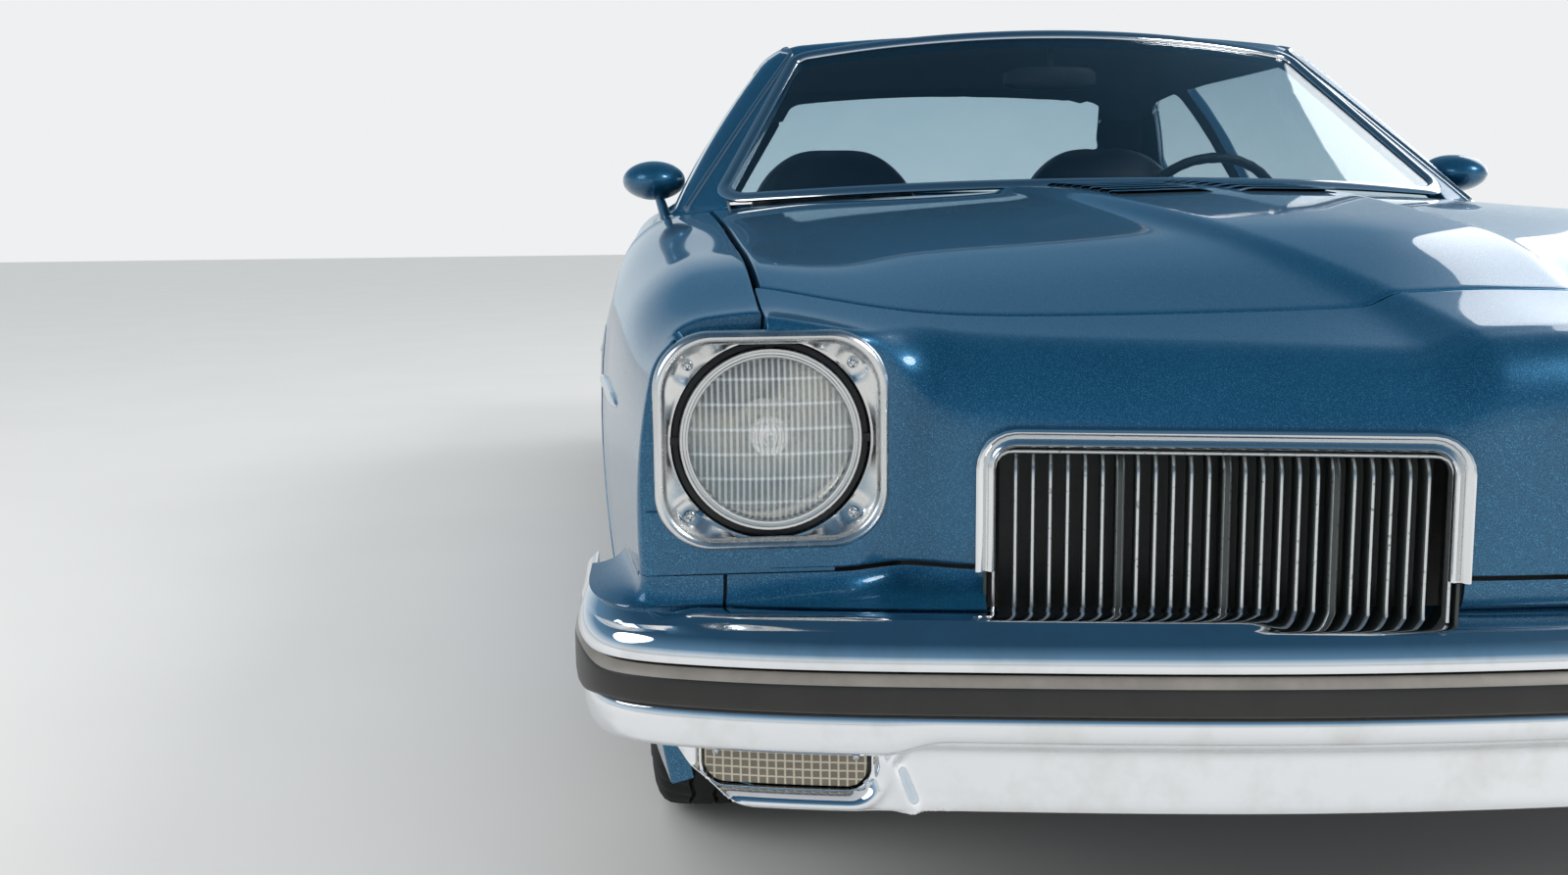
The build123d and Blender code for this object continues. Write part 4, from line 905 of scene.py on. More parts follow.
def trunk_panel():
    """Trunk lid: the deck's top from behind the rear panel to the tail."""
    xs, ts = both_ways(spaced((0, 0.74, 0.7705), (0.025, 0.008))), spaced((0, 0.02, 1), (0.008, 0.018))
    chart = top_chart(xs, ts, lambda x: 0 * x + 4.095, lambda x: 0 * x + 5.113)
    return panel("trunk_skin", len(ts), len(xs), chart, None, 0.022, 0.003, "metallic_paint")


def tail_sheet():
    """Tail panel: a flat sheet as wide as the body at each height, with a soft edge."""
    rows, cols = 34, 84

    def chart(i, j):
        u, v = 2 * j / (cols - 1) - 1, i / (rows - 1)
        last = BODY[-1]
        z = last[2] + v * (last[7] + (last[8] - last[7]) * (1 - (u * 0.9) ** 2) - 0.004 - last[2])
        bend = np.where(z < last[4], (last[3] - last[1]) / (last[4] - last[2]) ** 2,
                        (last[3] - last[5]) / (last[6] - last[4]) ** 2)
        half = last[3] - bend * (z - last[4]) ** 2 - np.maximum(z - 0.80, 0) * 0.9
        return np.stack([u * half, 0 * z + 5.150, z], -1)
    return panel("tail_skin", rows, cols, chart, None, 0.032, 0.013, "metallic_paint",
                 lambda p: np.tile([0.0, 1.0, 0.0], (len(p), 1)))


# Swept and turned pieces


def outward(points, faces):
    """The faces of a closed skin, turned where the volume that they enclose comes out below 0."""
    corners = [points[f] for f in faces]
    volume = sum(np.sum(c[:, :1] * np.cross(c[:, 1:-1], c[:, 2:])) for c in corners)
    return [f[:, ::-1] for f in faces] if volume < 0 else faces


def tube(rings, slot=0, closed=False):
    """Closed skin through a row of rings: quads between them, and a flat face at each end of an open row."""
    rows, count = rings.shape[:2]
    faces = [grid_quads(rows, count, wrap_rows=closed, wrap_cols=True)]
    if not closed:
        faces.append(np.array([np.arange(count)[::-1], (rows - 1) * count + np.arange(count)]))
    points = rings.reshape(-1, 3)
    return points, outward(points, faces), slot


def lens_block(front, back, slot):
    """Closed skin between a front and a back grid of the same size, joined by a hem round their edges."""
    rows, cols = front.shape[:2]
    count = rows * cols
    quads = grid_quads(rows, cols)
    loop = np.concatenate([np.arange(rows - 1) * cols, (rows - 1) * cols + np.arange(cols - 1),
                           np.arange(rows - 1, 0, -1) * cols + cols - 1, np.arange(cols - 1, 0, -1)])
    hem = np.stack([loop, np.roll(loop, -1), np.roll(loop, -1) + count, loop + count], -1)
    points = np.concatenate([front.reshape(-1, 3), back.reshape(-1, 3)])
    return points, outward(points, [quads, quads[:, ::-1] + count, hem[:, ::-1]]), slot


def joined_mesh(name, shells, materials):
    """One mesh of several closed skins, each with its points, its faces and its material number, or one
    number for each of its arrays of faces."""
    starts = np.cumsum([0] + [len(points) for points, _, _ in shells])
    faces = [f + start for start, (_, group, _) in zip(starts, shells) for f in group]
    slots = [k for _, group, slot in shells for k in (slot if isinstance(slot, tuple) else (slot,) * len(group))]
    return add_mesh(name, np.concatenate([points for points, _, _ in shells]), faces, materials, slots)


def swept(path, across, up, profile):
    """Rings along a path: each profile point (a, b) stands a along across and b along up."""
    profile = np.broadcast_to(np.asarray(profile, float), (len(path),) + np.shape(profile)[-2:])
    return path[:, None] + across[:, None] * profile[..., :1] + up[:, None] * profile[..., 1:]


def lathe(profile, centre, axis, steps, slot=0):
    """Closed skin turned about an axis of the car from a closed profile in mm of (place along it, radius)."""
    angles = np.linspace(0, 2 * np.pi, steps, endpoint=False)
    profile = np.asarray(profile, float) * MM
    axle, first, second = np.roll(np.eye(3), -axis, 0)
    ring = np.cos(angles)[:, None] * first + np.sin(angles)[:, None] * second
    rings = np.asarray(centre) + profile[None, :, :1] * axle + profile[None, :, 1:] * ring[:, None]
    return tube(rings, slot, closed=True)


def evened(line, step, closed=False):
    """A line's points spaced evenly about step apart along it."""
    line = np.asarray(line, float)
    if closed:
        line = np.concatenate([line, line[:1]])
    places = np.concatenate([[0], np.cumsum(np.linalg.norm(np.diff(line, axis=0), axis=1))])
    count = max(int(np.ceil(places[-1] / step)), 2)
    wanted = np.linspace(0, places[-1], count + (0 if closed else 1), endpoint=not closed)
    return np.stack([np.interp(wanted, places, column) for column in line.T], -1)


def rounded_line(corners, radius, step, closed=False):
    """Line through corners with each one rounded by an arc, and its points about step apart."""
    corners = np.asarray(corners, float)
    whole = list(zip(np.roll(corners, 1, 0), corners, np.roll(corners, -1, 0)))
    arcs = []
    for before, here, after in whole if closed else whole[1:-1]:
        a, b = unit(before - here), unit(after - here)
        half = np.arccos(np.clip(a @ b, -1, 1)) / 2
        centre = here + unit(a + b) * radius / np.sin(half)
        start, end = here + a * radius / np.tan(half) - centre, here + b * radius / np.tan(half) - centre
        turn = np.arctan2(start[0] * end[1] - start[1] * end[0], start @ end)
        angles = np.linspace(0, turn, 13)[:, None]
        arcs.append(centre + start * np.cos(angles) + np.array([-start[1], start[0]]) * np.sin(angles))
    line = np.concatenate(arcs if closed else [corners[:1]] + arcs + [corners[-1:]])
    return evened(line, step, closed)


def along(points, closed=False):
    """Directions along a line of points, from each point's neighbours."""
    if closed:
        return unit(np.roll(points, -1, 0) - np.roll(points, 1, 0))
    return unit(np.gradient(points, axis=0))


# Front: bumper, fillers, valance, grilles and lamps

FRONT_LINE = ((0, 0), (300, 13), (600, 53), (870, 112), (950, 158), (981, 240), (984, 330), (984, 430))
REAR_LINE = ((0, 0), (300, 8), (600, 33), (880, 70), (955, 118), (981, 200), (984, 310), (984, 430))


def plan_line(plan, step, keep=None):
    """A bumper's plan line from side to side as points and outward directions; keep picks a part by x and s."""
    half = np.array(plan, float) * MM
    line = np.concatenate([half[:0:-1] * (-1, 1), half])
    knots = np.concatenate([[0], np.cumsum(np.hypot(*np.diff(line, axis=0).T))])
    line = np.stack(spline(knots, line, np.linspace(0, knots[-1], 1600)), -1)
    if keep is not None:
        line = line[keep(line[:, 0], line[:, 1])]
    line = evened(line, step)
    ahead = along(line)
    return (np.column_stack([line, np.zeros(len(line))]),
            np.column_stack([ahead[:, 1], -ahead[:, 0], np.zeros(len(line))]))


def at_end(obj_rings, rear):
    """Rings made for the front, or turned half way round the car for the rear."""
    return np.stack([-obj_rings[..., 0], LENGTH - obj_rings[..., 1], obj_rings[..., 2]], -1) if rear else obj_rings


def shelf_depth(x):
    """Depth of a bumper's shelf: 64 mm across the car, and 18 mm down its sides."""
    return 0.064 - 0.046 * soft_step((np.abs(x) - 0.84) / 0.12)


def bumper_bar(name, plan, rear):
    """Chrome face bar: a shelf with a long embossed ridge, a rounded face and a tucked lower band,
    swept along the plan line. The shelf grows narrow where the bar turns down the car's sides."""
    path, out = plan_line(plan, 0.011)
    a = np.abs(path[:, :1])
    depth = shelf_depth(a)
    ridge = look().ridge_height * soft_step((a - 0.30) / 0.03) * soft_step((0.90 - a) / 0.03)
    share = np.array([1, 0.93, 0.86, 0.80, 0.74, 0.66, 0.56, 0.46, 0.40, 0.34, 0.27])
    rise = soft_step((0.80 - share) / 0.12) * soft_step((share - 0.34) / 0.10)
    shelf = np.stack([-0.004 - depth * share, 0.4985 + 0.0295 * np.sqrt(share) + ridge * rise], -1)
    face = np.array([(-16.5, 509), (-12.5, 506), (-9, 502), (-6.4, 497), (-4.8, 492), (-4, 487), (-3.8, 482.5),
                     (-4.6, 479.6), (-7, 478.4), (-13, 477.6), (-22, 476), (-22, 435.5), (-15, 435),
                     (-11, 433.6), (-8.6, 430), (-8, 424), (-8.8, 416), (-11, 409), (-15, 405), (-21, 404)]) * MM
    face = np.repeat(face[None], len(path), 0)
    drop = 0.014 * soft_step((a - 0.62) / 0.06) * (0 if rear else 1)
    face[..., 1] -= drop * np.clip((0.430 - face[..., 1]) / 0.026, 0, 1)
    back = np.stack([np.stack([-0.006 - depth[:, 0], np.full(len(path), z)], -1) for z in (0.412, 0.50)], 1)
    rings = swept(path, out, np.tile([0, 0, 1.0], (len(path), 1)), np.concatenate([shelf, face, back], 1))
    return joined_mesh(name, [tube(at_end(rings, rear))], "chrome_plate")


def rub_strip(name, plan, rear):
    """Black rubber strip in the bar's channel, taller and prouder where it ends on the car's sides.
    Its upper edge is a chamfer in pale grey, a painted reflection of the sky."""
    path, out = plan_line(plan, 0.011)
    tall = soft_step((path[:, 1:2] - 0.150) / 0.080)
    profile = np.array([(-21, 475.5), (-9, 475.5), (-7, 474.6), (-0.8, 464.5), (0, 461), (0, 446), (-1, 440),
                        (-3.5, 436.6), (-8, 435.6), (-21, 435.6)]) * MM
    grow = np.array([(0, 14), (-0.8, 14), (-0.5, 13.5), (-0.4, 14), (-0.4, 12), (-0.4, -4), (-0.4, -7), (-0.5, -8),
                     (-0.8, -8), (0, -8)]) * MM
    band = np.array([(-9.4, 474.6), (-9.2, 475.9), (-7.2, 475.2), (-0.9, 465.6), (-2.2, 464.4)]) * MM
    up = np.tile([0, 0, 1.0], (len(path), 1))
    rings = swept(path, out, up, profile + grow * tall[..., None])
    # The chamfer band: pale grey, a painted sheen of the sky's reflection
    light = swept(path, out, up, band + np.array([-0.4, 14]) * MM * tall[..., None])
    return joined_mesh(name, [tube(at_end(rings, rear)), tube(at_end(light, rear), 1)],
                       "strip_rubber worn_rubber")


def filler_piece(keep):
    """Skin of one filler: it starts on the body's lower edge and curves, hollow, out onto the shelf."""
    path, out = plan_line(FRONT_LINE, 0.012, keep)
    start = path - out * 0.30 + np.array([0, 0, 0.559])
    body = cast(start, out, 0.35)
    top = np.linalg.norm(body - start, axis=1)[:, None] - 0.302
    foot = -0.002 - 0.82 * shelf_depth(path[:, :1])
    turn = np.linspace(0, np.pi / 2, 9)
    outer = np.stack([top + (foot - top) * (1 - np.cos(turn)), 0.5575 - 0.0285 * np.sin(turn) + 0 * top], -1)
    inner = outer[:, ::-1] + np.array([-0.004, -0.0030])
    rings = swept(path, out, np.tile([0, 0, 1.0], (len(path), 1)), np.concatenate([outer, inner], 1))
    return tube(rings)


def bumper_fillers():
    """Body-coloured fillers above the front bumper: one between the grilles, and on each side a front
    piece and a corner piece, with a seam between them."""
    pieces = [filler_piece(lambda x, s: np.abs(x) < 0.117)]
    for sign in (-1, 1):
        pieces.append(filler_piece(lambda x, s: (sign * x > 0.578) & (sign * x < 0.8435)))
        pieces.append(filler_piece(lambda x, s: (sign * x > 0.8465) & (s < 0.36)))
    return joined_mesh("filler_skins", pieces, "metallic_paint")


def valance_depth(x, z):
    """How far the valance stands behind the plan line: raised rims round the turn lamps and a raised
    inset in the middle whose ends taper."""
    a = np.abs(x)
    lamp = rounded_box(a - 0.7695, z - 0.3905, 0.096, 0.060, 0.034)
    rim = 0.008 * np.exp(-(lamp / 0.0075) ** 2)
    inset = rounded_box(a, z - 0.345, 0.668 - 0.42 * np.maximum(0.376 - z, 0), 0.054, 0.03)
    edge = 0.006 * np.exp(-(inset / 0.009) ** 2) - 0.005 * soft_step(-inset / 0.016)
    tuck = 0.020 * soft_step((0.335 - z) / 0.06)
    return 0.042 - rim - edge + tuck + 0.010 * soft_step(-(lamp + 0.004) / 0.02)


def valance_panel(rear):
    """Bright valance under the bumper, cut for its lamps; its middle hangs lower in front."""
    xs = both_ways(spaced((0, 0.54, 0.885), (0.02, 0.012) if rear else (0.012, 0.0042)))
    ts = np.linspace(0, 1, 33)
    plan = REAR_LINE if rear else FRONT_LINE
    path, out = plan_line(plan, 0.006, lambda x, s: np.abs(x) < 0.93)

    def chart(i, j):
        x, t = pick(xs, j), pick(ts, i)
        low = 0.330 if rear else 0.324 - 0.044 * soft_step((0.665 - np.abs(x)) / 0.075)
        z = 0.404 + (low - 0.404) * t
        back = 0.042 + 0.02 * soft_step((0.335 - z) / 0.06) if rear else valance_depth(x, z)
        s = np.interp(x, path[:, 0], path[:, 1])
        return np.stack([x, s + back, z], -1)

    def normal(points):
        n = np.stack([np.interp(points[:, 0], path[:, 0], out[:, 0]), -np.ones(len(points)), 0 * points[:, 0]], -1)
        return unit(n)

    def keep(points):
        a, z = np.abs(points[..., 0]), points[..., 2]
        lamp = 1.0 if rear else rounded_box(a - 0.7695, z - 0.3765, 0.084, 0.0325, 0.024)
        end = z - 0.3225 - 0.070 * np.maximum((a - 0.79) / 0.095, 0) ** 2
        return np.minimum(lamp, end)
    piece = panel("rear_valance_skin" if rear else "valance_skin", len(ts), len(xs), chart, keep,
                  0.018, 0.002, "chrome_plate", normal)
    if rear:
        shift_mesh(piece.data, (-1, -1, 1))
    return piece


def turn_lamps():
    """Turn lamps in the valance: a lens with square pillows 9 mm apart, and two screws."""
    shells = []
    path, _ = plan_line(FRONT_LINE, 0.006, lambda x, s: np.abs(x) < 0.93)
    for sign in (-1, 1):
        u, v = np.meshgrid(np.linspace(-1, 1, 77), np.linspace(-1, 1, 21), indexing="ij")
        x = 0.7695 + 0.0805 * u
        foot = 0.3475 + 0.020 - np.sqrt(np.maximum(0.020 ** 2 - np.maximum(0.0805 * np.abs(u) - 0.0605, 0) ** 2, 0))
        z = foot + (0.3865 - foot) * (v + 1) / 2
        s = np.interp(x, path[:, 0], path[:, 1]) + 0.049
        pillow = 0.0012 * np.abs(np.sin(np.pi * (x - 0.686) / 0.0088)) * np.abs(np.sin(np.pi * (z - 0.3445) / 0.0084))
        pillow = pillow * soft_step((1 - np.maximum(np.abs(u), np.abs(v) * 0.96)) / 0.05)
        shells.append(lens_block(np.stack([sign * x, s - pillow, z], -1),
                                 np.stack([sign * x, s + 0.008, z], -1), 0))
        for place in (0.700, 0.839):
            depth = np.interp(place, path[:, 0], path[:, 1]) + 0.047
            shells.append(screw_head((sign * place, depth, 0.3785), 0.0036))
    return joined_mesh("turn_lamp_lenses", shells,
                       "smoky_lens bright_trim")


def screw_head(centre, radius):
    """Small domed screw head that faces forwards, with a cross cut into it."""
    ring, turn = np.meshgrid(np.array([1.0, 0.92, 0.72, 0.45, 0.2, 0.02]), np.arange(24) * np.pi / 12, indexing="ij")
    x, z = radius * ring * np.cos(turn), radius * ring * np.sin(turn)
    dome = 0.55 * radius * np.sqrt(np.maximum(1 - ring ** 2, 0))
    cross = np.minimum(np.abs(x), np.abs(z)) < 0.16 * radius
    cut = 0.5 * radius * (cross & (ring < 0.8))
    front = np.stack([centre[0] + x, centre[1] - dome + cut, centre[2] + z], -1)
    back = front[:1] + np.array([0, 0.004, 0])
    return tube(np.concatenate([back, front]), 1)


def grille_spot(across, behind, z):
    """Points of the left grille's own frame, in the car's frame."""
    return np.stack(np.broadcast_arrays(GRILLE_MID[0] + GRILLE_ALONG[0] * across - GRILLE_ALONG[1] * behind,
                                        GRILLE_MID[1] + GRILLE_ALONG[1] * across + GRILLE_ALONG[0] * behind, z), -1)


def arch_sweep(half, top, foot, radius, profile, slot=0):
    """Skin of a bead that runs up, over and down a grille: profile is (outwards, forwards)."""
    line = rounded_line(((-half, foot), (-half, top), (half, top), (half, foot)), radius, 0.008)
    ahead = along(line)
    out = np.stack([-ahead[:, 1], ahead[:, 0]], -1)
    profile = np.asarray(profile, float) * MM
    across = line[:, None, 0] + out[:, None, 0] * profile[:, 0]
    z = line[:, None, 1] + out[:, None, 1] * profile[:, 0]
    return tube(grille_spot(across, -profile[:, 1] + 0 * z, z), slot)


def both_sides(shells):
    """The shells and their mirror images."""
    other = [(points * MIRROR, [f[:, ::-1] for f in faces], slot) for points, faces, slot in shells]
    return list(shells) + other


def grille_frames():
    """Bright frames: a bead 20 mm wide with two ridges and a valley, open at the foot."""
    profile = ((-10, -12), (-10, 5), (-9, 8), (-7, 9.6), (-5, 9), (-3, 7), (-1.2, 6.6), (1, 8.6), (3.4, 11.8),
               (6, 13.2), (8.4, 12.2), (9.8, 9), (10, 4), (10, -6))
    frame_shell = arch_sweep(GRILLE_HALF - 0.010, GRILLE_TOP - 0.001, 0.561, 0.031, profile)
    return joined_mesh("grille_frame_beads", both_sides([frame_shell]), "bright_trim")


def grille_inserts():
    """Grille inserts: upright blades with silver front edges that bend back at the top and curve out at
    the foot, three thick dividers, a silver outline, and a dark shroud with a back plate."""
    blades = np.array(list("tttttt|ttttt|ttttt|ttttt"))
    half = GRILLE_HALF - 0.023
    pitch = 2 * half / (len(blades) + 1)
    shells = []
    z = np.concatenate([np.linspace(0.496, 0.540, 7), np.linspace(0.560, 0.650, 4), np.linspace(0.660, 0.683, 8)])
    behind = 0.004 + 0.9 * np.maximum(z - 0.658, 0) ** 2 / 0.025 - 0.006 * soft_step((0.535 - z) / 0.04)
    for kind, width in (("t", look().blade_width / 2), ("|", look().blade_width * 0.95)):
        places = half - (np.flatnonzero(blades == kind) + 1) * pitch
        side = np.array([-1, -1, -0.55, 0.55, 1, 1]) * width
        deep = np.array([0.036, 0.0022, 0, 0, 0.0022, 0.036])
        for place in places:
            rings = grille_spot(place + side[None], behind[:, None] + deep, z[:, None])
            points, faces, _ = tube(rings)
            column = np.tile(np.arange(6), len(z) - 1)
            edge = (column >= 1) & (column <= 3) if kind == "t" else (column == 1) | (column == 3)
            shells.append((points, [faces[0][~edge], faces[0][edge], faces[1]], (0, 1, 0)))
    outline = ((-1.6, -16), (-1.6, 1.2), (-0.6, 2.2), (0.8, 2.2), (1.6, 1.2), (1.6, -16))
    shells.append(arch_sweep(half + 0.0045, GRILLE_TOP - 0.0155, 0.52, 0.018, outline, 1))
    shroud = ((-1.5, -62), (-1.5, 2), (1.5, 2), (1.5, -62))
    shells.append(arch_sweep(half + 0.0125, GRILLE_TOP + 0.001, 0.515, 0.026, shroud))
    plate = np.array([(-half, 0.500), (half, 0.500), (half, 0.688), (-half, 0.688)])
    plate = np.stack([grille_spot(plate[:, 0], depth, plate[:, 1]) for depth in (0.060, 0.064)])
    shells.append(tube(plate))
    return joined_mesh("grille_blades", both_sides(shells), "grille_plastic silver_edging")


BEZEL_X, BEZEL_Z, BEZEL_HALF_X, BEZEL_HALF_Z = 0.7785, 0.6945, 0.1165, 0.1085


def outline_radius(turn, grow):
    """Radius of the bezel's outline, drawn in by grow, in each direction: halving 22 times."""
    low, high = np.zeros_like(turn), np.full_like(turn, 0.2)
    for _ in range(22):
        middle = (low + high) / 2
        outside = rounded_box(middle * np.cos(turn), middle * np.sin(turn), BEZEL_HALF_X - grow, BEZEL_HALF_Z - grow,
                              0.058 - 0.6 * grow) > 0
        low, high = np.where(outside, low, middle), np.where(outside, middle, high)
    return low


def headlamp_bezel():
    """Left lamp bezel: a rolled bright rim, a dished face that sinks in its corners, and a round edge at
    the lamp. Rings go from the outline to the circle; four screws sit in the corners."""
    turn = np.arange(168) * 2 * np.pi / 168
    rim = ((0, 162), (0, 148), (0.8, 143), (2.6, 139.6), (5.2, 138.2), (8, 139.4), (10, 142.4), (11.4, 146),
           (13, 147.4))
    rings = [(outline_radius(turn, grow * MM), np.full_like(turn, s * MM)) for grow, s in rim]
    start = rings[-1][0]
    for share in (0.12, 0.28, 0.46, 0.66, 0.84, 1.0):
        rings.append((start + (0.1015 - start) * share, np.full_like(turn, 0.1474 + 0.0072 * share)))
    rings += [(np.full_like(turn, r), np.full_like(turn, s))
              for r, s in ((0.0995, 0.1552), (0.0982, 0.158), (0.0980, 0.168))]
    points = np.stack([np.stack([BEZEL_X + r * np.cos(turn), s, BEZEL_Z + r * np.sin(turn)], -1) for r, s in rings])
    places = [(BEZEL_X + dx, BEZEL_Z + dz) for dx in (-0.0815, 0.0815) for dz in (-0.0745, 0.0755)]
    inner = np.zeros(points.shape[:2])
    inner[9:-3] = 1
    for x, z in places:
        gap = np.hypot(points[..., 0] - x, points[..., 2] - z)
        points[..., 1] += inner * (0.0052 * soft_step((0.021 - gap) / 0.010))
    shells = [tube(points, 0, closed=True)]
    shells += [screw_head((x, 0.1535, z), 0.0058) for x, z in places]
    return joined_mesh("lamp_bezels", both_sides(shells), "lamp_bezel_metal bright_trim")


# Radius of the headlamp's glass, and height of one of its bands
LENS_RADIUS, LENS_BAND = 0.0812, 0.0245


def headlamp():
    """Sealed-beam lamps: a fluted glass in level bands, a stepped retaining ring, a black gasket with
    three tabs, the bowl, and the shield in front of the bulb."""
    centre = np.array([LAMP_X, 0.0, LAMP_Z])
    ring = ((168, 91), (151, 91), (148.6, 89.8), (148.6, 87.6), (151, 86.6), (151.4, 84.6), (149.8, 83.8),
            (149.8, 82.2), (152.4, 80.6), (158, 80), (168, 80))
    gasket = ((172, 97.4), (157.5, 97.4), (156.5, 95.5), (156.5, 92), (172, 91.6))
    bowl = [(162 + 58 * (1 - (r / 80) ** 2), r) for r in (80, 74, 66, 56, 44, 32, 20, 9, 1)]
    bowl = bowl + [(s + 4, r) for s, r in reversed(bowl)]
    shield = ((200, 1), (172, 1), (170.4, 10), (171.4, 19), (174, 21), (186, 20), (200, 9))
    shells = [lathe(ring, centre, 1, 72, 4), lathe(gasket, centre, 1, 72, 2),
              lathe(bowl, centre, 1, 64, 3), lathe(shield, centre, 1, 36, 3)]
    u, v = np.meshgrid(np.linspace(-1, 1, 109), np.linspace(-1, 1, 49), indexing="ij")
    x, z = u * np.sqrt(1 - v * v / 2) * LENS_RADIUS, v * np.sqrt(1 - u * u / 2) * LENS_RADIUS
    r = np.hypot(x, z)
    band = np.floor((z + LENS_RADIUS) / LENS_BAND)
    flute = np.abs(np.sin(np.pi * x / (0.0068 - 0.0006 * (band % 3)) + 1.7 * band))
    groove = np.exp(-((np.mod(z + LENS_RADIUS, LENS_BAND) - LENS_BAND / 2) / 0.0112) ** 8)
    depth = soft_step((0.076 - r) / 0.006)
    dome = 0.1415 + 0.0128 * (r / LENS_RADIUS) ** 2
    front = np.stack([LAMP_X + x, dome - 0.0011 * depth * flute * groove, LAMP_Z + z], -1)
    rear = np.stack([LAMP_X + x, dome + 0.0042 + 0 * flute, LAMP_Z + z], -1)
    shells.append(lens_block(front, rear, 0))
    for turn in (0, 90, 180):
        shells.append(notch_block(centre, np.radians(turn)))
    return joined_mesh("headlamp_units", both_sides(shells),
                       "lamp_glass bright_trim seal_rubber bowl_mirror lamp_bezel_metal")


def notch_block(centre, turn):
    """Small rubber tab that stands out of the gasket at one angle."""
    out, side = np.array([np.cos(turn), 0, np.sin(turn)]), np.array([-np.sin(turn), 0, np.cos(turn)])
    width, depth = np.array([-4, 4, 5, -5.0]) * MM, np.array([154.5, 154.5, 160, 160]) * MM
    face = side * width[:, None] + np.array([0, 1.0, 0]) * depth[:, None]
    return tube(np.stack([centre + out * r * MM + face for r in (91, 94, 99)]), 2)


# Body trim: window surrounds, rails, mouldings, louvres, mirrors and handles


def pane_at(pane, x, t):
    """Points of a bowed window from x and the share t of the way up it."""
    half, side_s, side_z, mid_s, mid_z = pane_rows(pane, t)
    bow = (x / half) ** 2
    return np.stack([x, mid_s + (side_s - mid_s) * bow, mid_z + (side_z - mid_z) * bow], -1)


def bead(path, normal, profile, closed=False):
    """Skin of a bead that lies on a surface: profile is (across, out) in mm, and normal points outwards."""
    ahead = along(path, closed)
    across = unit(np.cross(normal, ahead))
    out = np.cross(ahead, across)
    return tube(swept(path, across, out, np.asarray(profile, float) * MM), 0, closed)


def pane_surround(name, pane, margin, profile):
    """Bright moulding round a window, with round corners."""
    low, high = pane
    run = np.hypot(high[3] - low[3], high[4] - low[4])
    t0, t1 = margin / run, 1 - margin / run
    corners = [(sign * (low[0] + (high[0] - low[0]) * t - margin), t * run) for sign, t in
               ((-1, t0), (1, t0), (1, t1), (-1, t1))]
    line = rounded_line(corners, 0.045, 0.012, True)
    x, t = line[:, 0], line[:, 1] / run
    path = pane_at(pane, x, t)
    normal = np.cross(pane_at(pane, x + 0.001, t) - path, pane_at(pane, x, t + 0.001) - path)
    normal = unit(normal if pane is SHIELD else -normal)
    return joined_mesh(name, [bead(path, normal, profile, True)], "bright_trim")


def skin_line(corners, radius, step):
    """Line on the body's left side through (s, z) corners in mm, and the skin's directions along it."""
    points = side_points(*rounded_line(np.asarray(corners, float) * MM, radius, step).T)
    return points, skin_normal(points)


def drip_rails():
    """Rain gutters: a bright bead up each windshield pillar, over the doors and down to the quarter."""
    corners = ((1846, 925), (2238, 1270), (2296, 1284), (3100, 1282), (3330, 1262), (3500, 1160))
    path, normal = skin_line(corners, 0.03, 0.012)
    profile = ((-7, -2), (-7, 2), (-5, 4.5), (-2, 6), (1, 6.4), (4, 5), (6, 2.4), (7, -2))
    return joined_mesh("drip_rails", both_sides([bead(path, normal, profile)]), "bright_trim")


MOULDING = ((-8, -2), (-8, 1.6), (-6.4, 4.2), (-3.4, 6), (0, 6.8), (3.4, 6), (6.4, 4.2), (8, 1.6), (8, -2))
MOULDING_RUNS = (("body", "moulding_fender_", ((490, 846), (1234, 1712))),
                 ("door", "moulding_door_", ((1722, 3016),)),
                 ("body", "moulding_quarter_", ((3026, 3706), (4064, 5090))))


def moulding(name, runs):
    """Left side moulding: a half-round bead at one height, with a point where it starts and ends by a wheel."""
    shells = []
    for first, last in runs:
        path, normal = skin_line(((first, 690), ((first + last) / 2, 690.5), (last, 690)), 0.03, 0.012)
        free = (first in (490, 1234, 4064), last in (846, 3706, 5090))
        size = np.ones(len(path))
        for end, there in ((path[:, 1] - first * MM, free[0]), (last * MM - path[:, 1], free[1])):
            size = np.minimum(size, 0.08 + 0.92 * np.sqrt(np.clip(end / 0.08, 0, 1))) if there else size
        ahead = along(path)
        across = unit(np.cross(normal, ahead))
        profile = np.asarray(MOULDING, float)[None] * MM * size[:, None, None]
        shells.append(tube(swept(path, across, np.cross(ahead, across), profile)))
    return joined_mesh(name, shells, "bright_trim")


def belt_strip():
    """Left door's bright strip along the foot of its window."""
    path, normal = skin_line(((1876, 899), (2450, 899), (3014, 899)), 0.3, 0.03)
    profile = ((-5, -2), (-5, 2), (-3, 4), (0, 4.6), (3, 4), (5, 2), (5, -2))
    return joined_mesh("belt_strip_left", [bead(path, normal, profile)], "bright_trim")


def arch_lip(name, s, radius, first, last):
    """Left wheel opening's rolled lip: a slim bead along the opening's edge."""
    turn = np.radians(np.linspace(first, last, 70))
    path = side_points(s + (radius + 0.006) * np.cos(turn), AXLE_Z + (radius + 0.006) * np.sin(turn))
    profile = ((-7, -6), (-7, -1), (-6, 0.6), (-3, 1.1), (0, 1.0), (4, 0.3), (8, -1), (8, -6))
    return joined_mesh(name, [bead(path, skin_normal(path), profile)], "metallic_paint")


